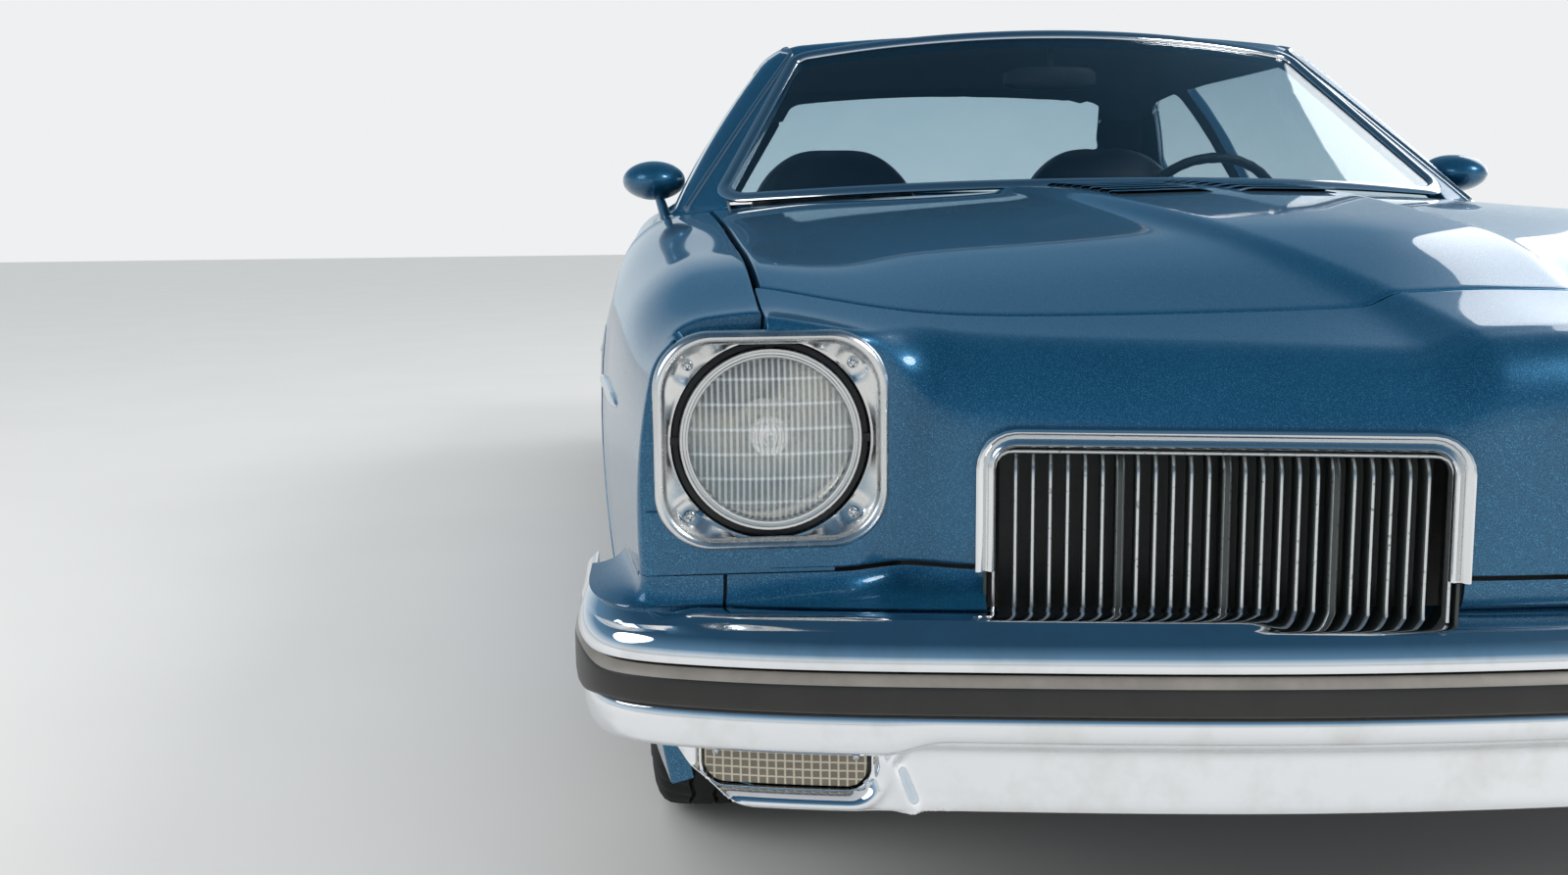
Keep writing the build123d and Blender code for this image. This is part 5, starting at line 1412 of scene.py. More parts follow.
def louvres():
    """Hood louvres in two banks: each a thin scoop whose raised front edge and outboard end are open,
    over a black strip that paints the shade inside its slot."""
    shells = []
    height = look().louvre_height
    for sign in (-1, 1):
        for index in range(8):
            s0 = 1.035 + 0.056 * index
            u, v = np.meshgrid(np.linspace(0, 1, 15), np.linspace(0, 1, 7), indexing="ij")
            x = sign * (0.022 + 0.154 * u)
            s = s0 + 0.044 * v
            rise = height * np.cos(v * np.pi / 2) ** 0.8 * (1 - (1 - soft_step(u / 0.12)) * 0.9)
            top = np.stack([x, s, top_height(x, s) + 0.0004 + rise], -1)
            lower = top - np.array([0, 0, 0.0012])
            rings = np.concatenate([top, lower[:, ::-1]], 1)
            shells.append(tube(rings))
            # Black strip under the scoop: painted shade in the open slot
            u, v = np.meshgrid(np.linspace(0, 1, 8), np.array([0.0, 1.0]), indexing="ij")
            x = sign * (0.026 + 0.148 * u)
            s = s0 - 0.006 + 0.030 * v
            top = np.stack([x, s, top_height(x, s) + 0.0009], -1)
            shells.append(tube(np.concatenate([top, (top - np.array([0, 0, 0.002]))[:, ::-1]], 1), 1))
    return joined_mesh("hood_louvres", shells, "metallic_paint seal_rubber")


def mirror_unit():
    """Left door mirror: a bullet-shaped head on a flared stalk, with a painted rim and its glass."""
    x0, s0, z0 = 0.890, 2.034, 0.985
    t = np.array([-1, -0.985, -0.94, -0.86, -0.74, -0.6, -0.44, -0.26, -0.08, 0])
    size = (1 - np.abs(t) ** 2.4) ** (1 / 2.1)
    s = np.concatenate([0.030 + 0.105 * t, [0.0335, 0.0358, 0.0355, 0.0300, 0.0300]]) + s0
    size = np.concatenate([np.maximum(size, 0.02), [0.985, 0.95, 0.925, 0.91, 0.02]])
    turn = np.arange(48) * np.pi / 24
    head = np.stack([x0 + 0.067 * size[:, None] * np.cos(turn), s[:, None] + 0 * turn,
                     z0 + 0.0415 * size[:, None] * np.sin(turn)], -1)
    glass_s = np.array([0.0300, 0.0322, 0.0322, 0.0318]) + s0
    glass_size = np.array([0.90, 0.895, 0.4, 0.01])
    glass = np.stack([x0 + 0.067 * glass_size[:, None] * np.cos(turn), glass_s[:, None] + 0 * turn,
                      z0 + 0.0415 * glass_size[:, None] * np.sin(turn)], -1)
    up = np.linspace(0, 1, 12)[:, None]
    flare = 1 + 0.35 * (1 - np.minimum(up / 0.25, 1)) ** 2
    stalk = np.stack([0.862 + 0.022 * up + (0.014 - 0.005 * up) * flare * np.cos(turn),
                      2.040 - 0.004 * up + (0.027 - 0.014 * up) * flare * np.sin(turn),
                      0.894 + 0.070 * up + 0 * turn], -1)
    return joined_mesh("mirror_unit_left", [tube(head), tube(glass, 1), tube(stalk)],
                       "metallic_paint bowl_mirror")


def pad_skin(name, centre, half, height, power, material):
    """Left side's low domed pad on the skin: half sizes along s and z, flat on top, round at its edges."""
    u, v = (np.linspace(-1, 1, n) for n in (41, 15))

    def chart(i, j):
        a, b = pick(u, i), pick(v, j)
        points = side_points(centre[0] + half[0] * a, centre[1] + half[1] * b)
        rise = height * (1 - np.abs(a) ** power) ** 0.5 * (1 - np.abs(b) ** 3) ** 0.5
        return points + skin_normal(points) * rise[..., None]
    return panel(name, 41, 15, chart, None, height + 0.002, 0.0006, material)


def door_handle():
    """Left door's pull handle: a bright flap with soft ends."""
    return pad_skin("handle_left", (2.865, 0.802), (0.082, 0.0145), 0.009, 8, "chrome_plate")


# Wheels


def tyre(name):
    """Tyre about its own middle: round walls with a raised rib, and a tread of five ribs whose grooves
    wander as triangle waves; notches cut the two shoulders into 48 blocks."""
    blocks = 48
    share = np.array([0.0, 0.24, 0.30, 0.62, 0.94])
    turn = (np.arange(blocks)[:, None] + share).ravel() * 2 * np.pi / blocks
    notch = np.tile([0, 1, 1, 0, 0], blocks)
    depth = look().tread_depth
    wall = [(70, 190), (78, 185.5), (86, 187), (96, 198), (103, 214), (108.5, 232), (110.4, 243), (112.1, 246),
            (112.4, 256), (112.1, 264), (110.6, 267), (109.4, 283), (106.4, 303), (100.5, 320), (93.5, 330),
            (84, 335.6)]
    tread = [(72, 337.8), (55.2, 339), (54.6, 331), (49.4, 331), (48.8, 339.3), (24, 340), (20.6, 340), (20, 332),
             (14.8, 332), (14.2, 340), (4, 340)]
    half = np.array(wall + tread, float) * MM
    other = half[::-1] * (-1, 1)
    inside = np.array([(-66, 200), (-84, 236), (-92, 262), (-86, 300), (-60, 322), (60, 322), (86, 300), (92, 262),
                       (84, 236), (66, 200)], float) * MM
    profile = np.concatenate([half, other, inside])
    groove = np.zeros(len(profile))
    groove[[17, 18, 19, 20]], groove[[22, 23, 24, 25]] = 1.0, -1.0
    groove[len(half):2 * len(half)] = groove[:len(half)][::-1]
    wave = 2 * np.abs(np.mod(turn * 24 / np.pi, 2) - 1) - 1
    x = profile[:, 0] + 0.0024 * groove * wave[:, None]
    cut = np.zeros(len(profile))
    cut[[14, 15, 16]] = 0.6, 1.0, 0.9
    cut[len(half):2 * len(half)] = cut[:len(half)][::-1]
    r = profile[:, 1] - (depth * 0.8) * cut * notch[:, None]
    deep = (profile[:, 1] > 0.3305) & (profile[:, 1] < 0.3325) & (np.abs(profile[:, 0]) < 0.056)
    r = r + deep * (0.008 - depth)
    rings = np.stack([x, LENGTH / 2 - r * np.sin(turn)[:, None], r * np.cos(turn)[:, None]], -1)
    return joined_mesh(name, [tube(rings, 0, True)], "tyre_rubber")


DISC = np.array([(30, 4), (38, 10), (46, 15), (60, 18.5), (80, 21.5), (100, 22), (122, 16), (140, 10.5), (152, 6.5),
                 (160, 1.5), (168, -4), (172, -6)], float) * MM


def disc_place(r):
    """Outer face of the wheel's disc at radius r."""
    return np.interp(r, DISC[:, 0], DISC[:, 1])


def wheel(name):
    """Pressed rally wheel about its own middle: a barrel with lips, a dished disc with five round-cornered
    windows, five nuts, a hub cap and a bright trim ring."""
    def chart(i, j):
        r, turn = pick(np.linspace(0.030, 0.172, 28), i), j * 2 * np.pi / 160
        return np.stack([disc_place(r), LENGTH / 2 + r * np.sin(turn), r * np.cos(turn)], -1)

    def keep(points):
        s, z = points[..., 1] - LENGTH / 2, points[..., 2]
        r, turn = np.hypot(s, z), np.mod(np.arctan2(s, z), 2 * np.pi / 5) - np.pi / 5
        return rounded_box(r * np.sin(turn), r * np.cos(turn) - 0.124, 0.0300 + 0.10 * (r - 0.124), 0.0245, 0.016)

    def normal(points):
        s, z = points[:, 1] - LENGTH / 2, points[:, 2]
        r = np.hypot(s, z)
        slope = (disc_place(r + 0.002) - disc_place(r - 0.002)) / 0.004
        return unit(np.stack([np.ones(len(r)), -slope * s / r, -slope * z / r], -1))
    disc = panel(name + "_disc", 28, 161, chart, keep, 0.005, 0.0012, "wheel_paint", normal)
    centre = (0, LENGTH / 2, 0)
    barrel = [(-92, 190), (-92, 186), (-90, 180), (-84, 177), (-72, 176), (-60, 168.5), (60, 168.5), (72, 176),
              (84, 177), (90, 180), (92, 186), (92, 190), (87, 190), (84, 184.5), (-84, 184.5), (-87, 190)]
    ring = [(84, 191), (91, 192.5), (94, 190), (93.5, 185), (89, 180.5), (80, 177.8), (66, 175), (40, 171),
            (14, 168.2),
            (10, 166.8), (10, 165.4), (40, 168.6), (70, 172), (84, 175)]
    cap = [(-4, 35), (8, 35), (15, 34), (21, 32), (25, 28.6), (27.4, 22), (28.6, 12), (29, 0.5), (-4, 0.5)]
    shells = [lathe(barrel, centre, 0, 96, 0), lathe(ring, centre, 0, 96, 1),
              lathe(cap, centre, 0, 48, 1)]
    for index in range(5):
        turn = 2 * np.pi * index / 5
        spot = np.array([0, LENGTH / 2 + 0.052 * np.sin(turn), 0.052 * np.cos(turn)])
        nut = ((10, 13), (19, 11), (20, 10), (29, 9.6), (31.5, 8.2), (33, 5.5), (33.6, 0.5), (10, 0.5))
        shells.append(lathe(nut, spot, 0, 6, 1))
    return disc, joined_mesh(name + "_barrel", shells, "wheel_paint bright_trim")


# Tail and cabin


def tail_lamps():
    """Tail lamps: a bright bezel round a red lens with level ribs 14 mm apart, and a clear reversing lens."""
    shells = []
    line = rounded_line(((0.424, 0.594), (0.826, 0.594), (0.826, 0.726), (0.424, 0.726)), 0.024, 0.008, True)
    middle = line.mean(0)
    out = unit(line - middle)
    rings = []
    for grow, s in ((-0.004, 5.146), (-0.001, 5.155), (-0.003, 5.161), (-0.007, 5.163), (-0.011, 5.160),
                    (-0.013, 5.152), (-0.013, 5.146)):
        flat = line + out * grow
        rings.append(np.stack([flat[:, 0], np.full(len(flat), s), flat[:, 1]], -1))
    shells.append(tube(np.stack(rings), 1, True))
    for first, last, slot in ((0.439, 0.724, 0), (0.728, 0.811, 2)):
        u, v = np.meshgrid(np.linspace(first, last, 25), np.linspace(0.609, 0.711, 57), indexing="ij")
        rib = 0.0022 * np.abs(np.sin(np.pi * (v - 0.609) / 0.0127))
        edge = soft_step(np.minimum(np.minimum(u - first, last - u), np.minimum(v - 0.609, 0.711 - v)) / 0.006)
        front = np.stack([u, 5.1545 + 0.003 * edge + rib * edge, v], -1)
        back = np.stack([u, 0 * u + 5.148, v], -1)
        shells.append(lens_block(front, back, slot))
    return joined_mesh("tail_lamp_units", both_sides(shells), "red_lens bright_trim lamp_glass")


# s of the plate's flat face
PLATE_FACE = 5.1528


def blank_plate():
    """Blank plate between the tail lamps: a thin sheet with a raised edge, round corners and two screws."""
    line = rounded_line(((-0.152, 0.585), (0.152, 0.585), (0.152, 0.737), (-0.152, 0.737)), 0.014, 0.006, True)
    middle = line.mean(0)
    rings = []
    for share, s in ((1.0, 5.150), (1.0, 5.1532), (0.985, 5.1545), (0.955, 5.1545), (0.94, PLATE_FACE),
                     (0.5, PLATE_FACE), (0.02, PLATE_FACE)):
        flat = middle + (line - middle) * share
        rings.append(np.stack([flat[:, 0], np.full(len(flat), s), flat[:, 1]], -1))
    points, faces, _ = tube(np.stack(rings))
    heads = []
    for x in (-0.090, 0.090):
        p, f, _ = screw_head((x, 0.0, 0.722), 0.005)
        p = np.stack([p[:, 0], PLATE_FACE - p[:, 1], p[:, 2]], -1)
        heads.append((p, outward(p, f), 1))
    return joined_mesh("rear_plate", [(points, faces, 0)] + heads, "plate_enamel bright_trim")


def cushion(centre, half, power, form):
    """Closed soft block: rings of a superellipse at places across the car, smaller towards its sides, in
    shares of the half sizes. form moves the points before they are put to size."""
    share = np.sin(np.linspace(-1, 1, 97) * 1.53)[:, None]
    turn = np.arange(56) * np.pi / 28
    size = (1 - np.abs(share) ** power) ** (1 / power)
    ring = (np.abs(np.cos(turn)) ** power + np.abs(np.sin(turn)) ** power) ** (-1 / power)
    points = np.stack([share + 0 * turn, size * ring * np.cos(turn), size * ring * np.sin(turn)], -1)
    return tube(form(points) * half + centre)


def channels(places, depth, width):
    """Sewn channels: how far a soft face sinks at each place, as sums of narrow bells."""
    def sink(v):
        return depth * np.exp(-((v[..., None] - np.asarray(places)) / width) ** 2).sum(-1)
    return sink


# Middle of each front seat
SEAT_X = 0.385


def front_seats():
    """Bucket seats: a cushion and a tall backrest with broad round shoulders, each with side bolsters
    and upright channels."""
    shells = []
    sink = channels((-0.42, -0.21, 0.0, 0.21, 0.42), 0.10, 0.034)
    for x in (-SEAT_X, SEAT_X):
        def seat_form(p):
            wing = 0.24 * soft_step((np.abs(p[..., 0]) - 0.55) / 0.25)
            up = soft_step((p[..., 2] - 0.1) / 0.4)
            q = p.copy()
            q[..., 2] += up * (wing - sink(p[..., 0]) * (np.abs(p[..., 0]) < 0.6)
                               + 0.16 * np.maximum(-p[..., 1], 0) - 0.24)
            return q

        def back_form(p):
            q = p.copy()
            high = np.maximum(p[..., 2], 0)
            q[..., 0] *= 1 - 0.34 * high ** 3
            fore = soft_step((-p[..., 1] - 0.1) / 0.4)
            wing = 0.30 * soft_step((np.abs(p[..., 0]) - 0.55) / 0.25) * (1 - 0.7 * high ** 2)
            q[..., 1] -= fore * (wing - sink(p[..., 0]) * (np.abs(p[..., 0]) < 0.6) * (p[..., 2] < 0.55) - 0.22)
            q[..., 1] += 0.85 * (p[..., 2] + 1)
            return q
        shells.append(cushion((x, 2.750, 0.415), (0.263, 0.258, 0.085), 4.6, seat_form))
        shells.append(cushion((x, 2.985, 0.765), (0.250, 0.070, 0.322), 4.2, back_form))
    return joined_mesh("front_seat_pads", shells, "seat_vinyl")


def rear_bench():
    """Rear bench: a low cushion and a backrest, with upright channels."""
    sink = channels(np.linspace(-0.84, 0.84, 9), 0.10, 0.024)

    def seat_form(p):
        q = p.copy()
        q[..., 2] -= soft_step((p[..., 2] - 0.1) / 0.4) * sink(p[..., 0]) + 0.1 * soft_step((p[..., 2] - 0.1) / 0.4)
        return q

    def back_form(p):
        q = p.copy()
        q[..., 1] += soft_step((-p[..., 1] - 0.1) / 0.4) * (sink(p[..., 0]) + 0.15)
        return q
    shells = [cushion((0, 3.330, 0.432), (0.598, 0.195, 0.068), 5.5, seat_form),
              cushion((0, 3.485, 0.655), (0.598, 0.062, 0.196), 5.5, back_form)]
    return joined_mesh("rear_bench_pads", shells, "seat_vinyl")


STEER_CENTRE, STEER_TILT = np.array([0.400, 2.262, 0.862]), np.radians(24)
STEER_AXIS = np.array([0, np.cos(STEER_TILT), np.sin(STEER_TILT)])
STEER_SIDE, STEER_UP = np.array([1.0, 0, 0]), np.array([0, -np.sin(STEER_TILT), np.cos(STEER_TILT)])


def dashboard():
    """Dashboard: one soft section from side to side with a hood over the instruments, a lower shelf,
    a glove-box seam, the column, two round dials and the vents."""
    section = np.array([(1850, 872), (1868, 900), (1905, 911), (2000, 908), (2076, 899), (2110, 886), (2128, 868),
                        (2134, 846), (2130, 800), (2122, 764), (2104, 748), (2076, 726), (2054, 676), (2040, 646),
                        (2000, 640), (1900, 642), (1860, 700)], float) * MM
    x = np.concatenate([np.linspace(-0.752, 0.18, 40), np.linspace(0.20, 0.60, 41), np.linspace(0.62, 0.752, 8)])
    hood = soft_step((0.185 - np.abs(x - 0.40)) / 0.05)[:, None]
    end = 1 - 0.04 * soft_step((np.abs(x) - 0.735) / 0.017)[:, None]
    s, z = section[:, 0] + 0 * x[:, None], section[:, 1] + 0 * x[:, None]
    raised = soft_step((section[:, 0] - 2.04) / 0.05) * soft_step((section[:, 1] - 0.83) / 0.05)
    z = z + 0.030 * hood * raised
    s = s + 0.020 * hood * raised - 0.018 * hood * (np.abs(section[:, 1] - 0.80) < 0.04)
    seam = 0.004 * np.exp(-((x[:, None] + 0.16) / 0.004) ** 2) + 0.004 * np.exp(-((x[:, None] + 0.64) / 0.004) ** 2)
    s = s - seam * (section[:, 0] > 2.03)
    middle = np.array([1.99, 0.79])
    rings = np.stack([x[:, None] + 0 * s, middle[0] + (s - middle[0]) * end, middle[1] + (z - middle[1]) * end], -1)
    shells = [tube(rings)]
    dial = ((2108, 44), (2122, 44), (2124, 41), (2122, 38), (2116, 36), (2114, 2), (2108, 2))
    for place in (0.34, 0.46):
        shells.append(lathe(dial, (place, 0, 0.806), 1, 40, 1))
    for place in (-0.60, -0.05, 0.12, 0.68):
        for k in range(4):
            z0 = 0.812 + 0.010 * k
            box = np.array([(-0.04, 0), (0.04, 0), (0.04, 0.003), (-0.04, 0.003)])
            rows = [np.stack([place + box[:, 0], np.full(4, depth), z0 + box[:, 1] + (depth - 2.12) * 0.4], -1)
                    for depth in (2.12, 2.138)]
            shells.append(tube(np.stack(rows)))
    axis, side, up = STEER_AXIS, STEER_SIDE, STEER_UP
    start = STEER_CENTRE - 0.26 * axis
    turn = np.arange(24) * np.pi / 12
    circle = np.cos(turn)[:, None] * side + np.sin(turn)[:, None] * up
    column = [(0, 0.030), (0.19, 0.030), (0.20, 0.036), (0.236, 0.036), (0.240, 0.031)]
    shells.append(tube(np.stack([start + axis * a + circle * r for a, r in column])))
    return joined_mesh("dashboard_skin", shells, "dash_plastic bright_trim")


def steering_wheel():
    """Steering wheel: a rim with finger swells, three flat spokes and a soft hub pad."""
    centre, axis, side, up = STEER_CENTRE, STEER_AXIS, STEER_SIDE, STEER_UP
    turn, small = np.arange(144) * np.pi / 72, np.arange(12) * np.pi / 6
    radius = 0.180 + (0.0112 + 0.0006 * np.sin(turn * 36))[:, None] * np.cos(small)
    lift = 0.006 + 0.0112 * np.sin(small) + 0 * turn[:, None]
    ray = np.cos(turn)[:, None] * side + np.sin(turn)[:, None] * up
    rim = centre + radius[..., None] * ray[:, None] + lift[..., None] * axis
    shells = [tube(rim, 0, True)]
    for angle in (0, 180, 270):
        c, s = np.cos(np.radians(angle)), np.sin(np.radians(angle))
        out, wide = c * side + s * up, -s * side + c * up
        r = np.linspace(0.030, 0.176, 12)
        width = 0.013 + 0.006 * (np.abs(r - 0.10) / 0.07) ** 2
        ring = np.array([(-1, -0.003), (-0.8, 0.003), (0.8, 0.003), (1, -0.003)])
        rings = (centre + out * r[:, None, None] + wide * (ring[:, 0] * width[:, None])[..., None]
                 + axis * (ring[:, 1] - 0.010 + 0.014 * ((r[:, None] - 0.03) / 0.146))[..., None])
        shells.append(tube(rings, 1))
    circle = np.cos(turn[::3])[:, None] * side + np.sin(turn[::3])[:, None] * up
    pad = ((-0.032, 0.030), (-0.030, 0.040), (-0.006, 0.044), (0.006, 0.040), (0.012, 0.028), (0.013, 0.002))
    shells.append(tube(np.stack([centre + axis * a + circle * r for a, r in pad])))
    return joined_mesh("steering_wheel_rim", shells, "dash_plastic bright_trim")


def cabin_mirror():
    """Interior mirror: a rounded head on its stem under the roof, all in dash plastic."""
    turn = np.arange(40) * np.pi / 20
    size = np.array([0.02, 0.7, 0.92, 1.0, 1.0, 0.94, 0.02])
    s = np.array([2.150, 2.151, 2.154, 2.161, 2.168, 2.171, 2.1705])
    raised = lambda v: np.sign(v) * np.abs(v) ** 0.55
    head = np.stack([0.0 + 0.105 * size[:, None] * raised(np.cos(turn)), s[:, None] + 0 * turn,
                     1.205 + 0.027 * size[:, None] * raised(np.sin(turn))], -1)
    up = np.linspace(0, 1, 5)[:, None]
    stem = np.stack([0.006 * np.cos(turn) + 0 * up, 2.156 + 0.012 * up + 0.006 * np.sin(turn),
                     1.225 + 0.045 * up + 0 * turn], -1)
    return joined_mesh("cabin_mirror", [tube(head), tube(stem)], "dash_plastic")


def carpet():
    """Carpet that lies on the floor pan and over its tunnel."""
    x, s = np.meshgrid(np.linspace(-0.745, 0.745, 61), np.linspace(1.655, 3.12, 30), indexing="ij")
    hump = 0.366 - 0.259
    z = 0.2605 + hump * soft_step((0.152 - np.abs(x)) / 0.045)
    z = z + 0.10 * soft_step((1.76 - s) / 0.10)
    top = np.stack([x, s, z], -1)
    rings = np.concatenate([top, (top - np.array([0, 0, 0.0015]))[:, ::-1]], 1)
    return joined_mesh("cabin_carpet", [tube(rings)], "floor_carpet")


def seat_bases():
    """Bases under the front seats, drawn in towards the cushion."""
    shells = []
    for x in (-SEAT_X, SEAT_X):
        line = rounded_line(((x - 0.21, 2.56), (x + 0.21, 2.56), (x + 0.21, 2.96), (x - 0.21, 2.96)), 0.05,
                            0.02, True)
        middle = line.mean(0)
        rings = [np.column_stack([middle + (line - middle) * share, np.full(len(line), z)])
                 for share, z in ((1, 0.260), (1, 0.272), (0.94, 0.280), (0.90, 0.345))]
        shells.append(tube(np.stack(rings)))
    return joined_mesh("seat_bases", shells, "dash_plastic")


def tail_pipes():
    """Tail pipes: round pipes from the silencers, up over the rear axle and down to the tail, hollow at
    their ends."""
    line = rounded_line(((3.28, 0.190), (3.612, 0.192), (3.772, 0.455), (4.02, 0.455), (4.26, 0.335), (5.125, 0.300)),
                        0.08, 0.02)
    path = np.column_stack([np.full(len(line), 0.300), line])
    ahead = along(path)
    side = np.tile([1.0, 0, 0], (len(path), 1))
    up = np.cross(side, ahead)
    turn = np.arange(20) * np.pi / 10
    circle = np.stack([np.cos(turn), np.sin(turn)], -1)
    rings = swept(path, side, up, circle * 0.026)
    bore = [rings[-1] * 1.0, path[-1] + (rings[-1] - path[-1]) * 0.86, path[-1] + (rings[-1] - path[-1]) * 0.85
            - ahead[-1] * 0.09]
    return joined_mesh("tail_pipes", both_sides([tube(np.concatenate([rings, np.stack(bore)[1:]]))]),
                       "exhaust_steel")


# Operators


class CAR_OT_front_panels(bpy.types.Operator):
    """Make the hood with its louvres, the cowl and the nose"""
    bl_idname = "car.front_panels"
    bl_label = "Hood, Cowl and Nose"

    def execute(self, context):
        place_piece(hood_panel(), "hood", "metallic_paint", "hood")
        place_piece(louvres(), "hood", "metallic_paint")
        place_piece(cowl_panel(), "body", "metallic_paint", "cowl")
        place_piece(nose_panel(), "body", "metallic_paint", "nose_panel")
        return {"FINISHED"}


class CAR_OT_sides(bpy.types.Operator):
    """Make both sides: fenders, doors, rockers and quarters with their bright trim, handles and lips"""
    bl_idname = "car.sides"
    bl_label = "Sides and Doors"

    def execute(self, context):
        rows = [(fender_panel(), "fender_skin_", "body", "metallic_paint", "fender_"),
                (quarter_panel(), "quarter_skin_", "body", "metallic_paint", "quarter_"),
                (door_panel(), "door_skin_", "door", "metallic_paint", "door_"),
                (door_card(), "door_card_", "door", "seat_vinyl", None),
                (rocker_panel(), "rocker_skin_", "body", "metallic_paint", None),
                (pod_panel(), "pod_skin_", "body", "metallic_paint", None),
                (belt_strip(), "belt_strip_", "door", "bright_trim", None),
                (door_handle(), "handle_", "door", "chrome_plate", None),
                (arch_lip("front_lip_left", FRONT_AXLE, FRONT_ARCH, -12, 196), "front_lip_", "body",
                 "metallic_paint", None),
                (arch_lip("rear_lip_left", REAR_AXLE, REAR_ARCH, -14, 197), "rear_lip_", "body",
                 "metallic_paint", None)]
        rows += [(moulding(stem + "left", runs), stem, body, "bright_trim", None) for body, stem,
                 runs in MOULDING_RUNS]
        for left, stem, body, look_name, node in rows:
            for piece, side in ((left, "left"), (moved_copy(left, stem + "right", MIRROR), "right")):
                nodes = [node + side] if node else []
                place_piece(piece, "door_" + side if body == "door" else body, look_name, *nodes)
                if stem == "rocker_skin_" and side == "left":
                    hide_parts("rockers")
        return {"FINISHED"}


class CAR_OT_top_and_tail(bpy.types.Operator):
    """Make the roof, the deck, the trunk lid and the tail panel, and the mouldings round their windows"""
    bl_idname = "car.top_and_tail"
    bl_label = "Roof, Trunk and Tail"

    def execute(self, context):
        place_piece(roof_panel(), "body", "metallic_paint", "roof")
        place_piece(deck_panel(), "body", "metallic_paint", "rear_deck")
        place_piece(trunk_panel(), "trunk_lid", "metallic_paint", "trunk_lid")
        place_piece(tail_sheet(), "body", "metallic_paint", "tail_panel")
        wide = ((-15, -3), (-15, 1), (-12, 3.4), (-6, 5), (0, 5.6), (6, 5), (11, 3.2), (14, 0.6), (15, -3))
        place_piece(pane_surround("windshield_surround", SHIELD, 0.008, wide), "body", "bright_trim")
        slim = np.array(wide) * (0.8, 0.9)
        place_piece(pane_surround("rear_window_surround", BACK, 0.022, slim), "body", "bright_trim")
        place_piece(drip_rails(), "body", "bright_trim")
        place_piece(blank_plate(), "body", "wheel_paint")
        return {"FINISHED"}


class CAR_OT_bumpers(bpy.types.Operator):
    """Make both bumpers with their rubber strips, the fillers, the valances and the turn lamps"""
    bl_idname = "car.bumpers"
    bl_label = "Bumpers and Valances"

    def execute(self, context):
        for end, plan in (("front", FRONT_LINE), ("rear", REAR_LINE)):
            rear = end == "rear"
            place_piece(bumper_bar(end + "_bar", plan, rear), "body", "chrome_plate", end + "_bumper")
            place_piece(rub_strip(end + "_strip", plan, rear), "body", "strip_rubber", end + "_rub_strip")
            place_piece(valance_panel(rear), "body", "chrome_plate", end + "_valance")
        place_piece(bumper_fillers(), "body", "metallic_paint", "bumper_fillers")
        place_piece(turn_lamps(), "body", "smoky_lens", "turn_lamps")
        return {"FINISHED"}


class CAR_OT_grilles(bpy.types.Operator):
    """Make the grille frames and the inserts with their silver-edged blades"""
    bl_idname = "car.grilles"
    bl_label = "Grilles"

    def execute(self, context):
        place_piece(grille_frames(), "body", "bright_trim", "grille_frames")
        place_piece(grille_inserts(), "body", "grille_plastic", "grille_inserts")
        return {"FINISHED"}


class CAR_OT_lamps(bpy.types.Operator):
    """Make the headlamps with their bezels, and the tail lamps"""
    bl_idname = "car.lamps"
    bl_label = "Lamps"

    def execute(self, context):
        place_piece(headlamp_bezel(), "body", "lamp_bezel_metal", "headlamp_bezels")
        place_piece(headlamp(), "body", "lamp_glass", "headlamps")
        place_piece(tail_lamps(), "body", "red_lens", "tail_lamps")
        return {"FINISHED"}


class CAR_OT_mirrors(bpy.types.Operator):
    """Make the two door mirrors and the one in the cabin"""
    bl_idname = "car.mirrors"
    bl_label = "Mirrors"

    def execute(self, context):
        left = mirror_unit()
        place_piece(left, "door_left", "metallic_paint", "mirror_left")
        place_piece(moved_copy(left, "mirror_unit_right", MIRROR), "door_right", "metallic_paint", "mirror_right")
        place_piece(cabin_mirror(), "body", "dash_plastic")
        return {"FINISHED"}


class CAR_OT_wheels(bpy.types.Operator):
    """Make one tyre and one wheel, and put copies of them at the four corners"""
    bl_idname = "car.wheels"
    bl_label = "Wheels and Tyres"

    def execute(self, context):
        first = [("tyre_skin_", tyre("first_tyre"), "tyre_rubber", "tyre_")]
        disc, barrel = wheel("first_wheel")
        first += [("wheel_disc_", disc, "wheel_paint", "rim_"), ("wheel_barrel_", barrel, "wheel_paint", None)]
        for stem, obj, look_name, node in first:
            for end, axle in (("front", FRONT_AXLE), ("rear", REAR_AXLE)):
                for side, sign in (("left", 1), ("right", -1)):
                    place = (sign * 0.800, axle - LENGTH / 2, AXLE_Z)
                    piece = moved_copy(obj, stem + end + "_" + side, (sign, 1, 1), place)
                    nodes = [node + end + "_" + side] if node else []
                    place_piece(piece, "wheel_" + end + "_" + side, look_name, *nodes)
            bpy.data.objects.remove(obj)
        return {"FINISHED"}


class CAR_OT_cabin(bpy.types.Operator):
    """Make the seats, the bench, the dashboard, the steering wheel and the carpet, and the tail pipes"""
    bl_idname = "car.cabin"
    bl_label = "Cabin"

    def execute(self, context):
        for made, node in ((front_seats(), "front_seats"), (rear_bench(), "rear_seat")):
            place_piece(made, "body", "seat_vinyl", node)
        place_piece(seat_bases(), "body", "dash_plastic")
        place_piece(dashboard(), "body", "dash_plastic", "dashboard")
        place_piece(steering_wheel(), "steering_wheel", "dash_plastic", "steering_wheel")
        place_piece(carpet(), "body", "floor_carpet")
        place_piece(tail_pipes(), "body", "exhaust_steel")
        return {"FINISHED"}


class CAR_OT_finishes(bpy.types.Operator):
    """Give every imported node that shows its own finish"""
    bl_idname = "car.finishes"
    bl_label = "Finishes"

    def execute(self, context):
        for finish_name, nodes in NODE_FINISH.items():
            for node in nodes.split():
                mesh = frame["nodes"][node].data
                mesh.materials.clear()
                mesh.materials.append(finish(finish_name))
        return {"FINISHED"}


# Stage

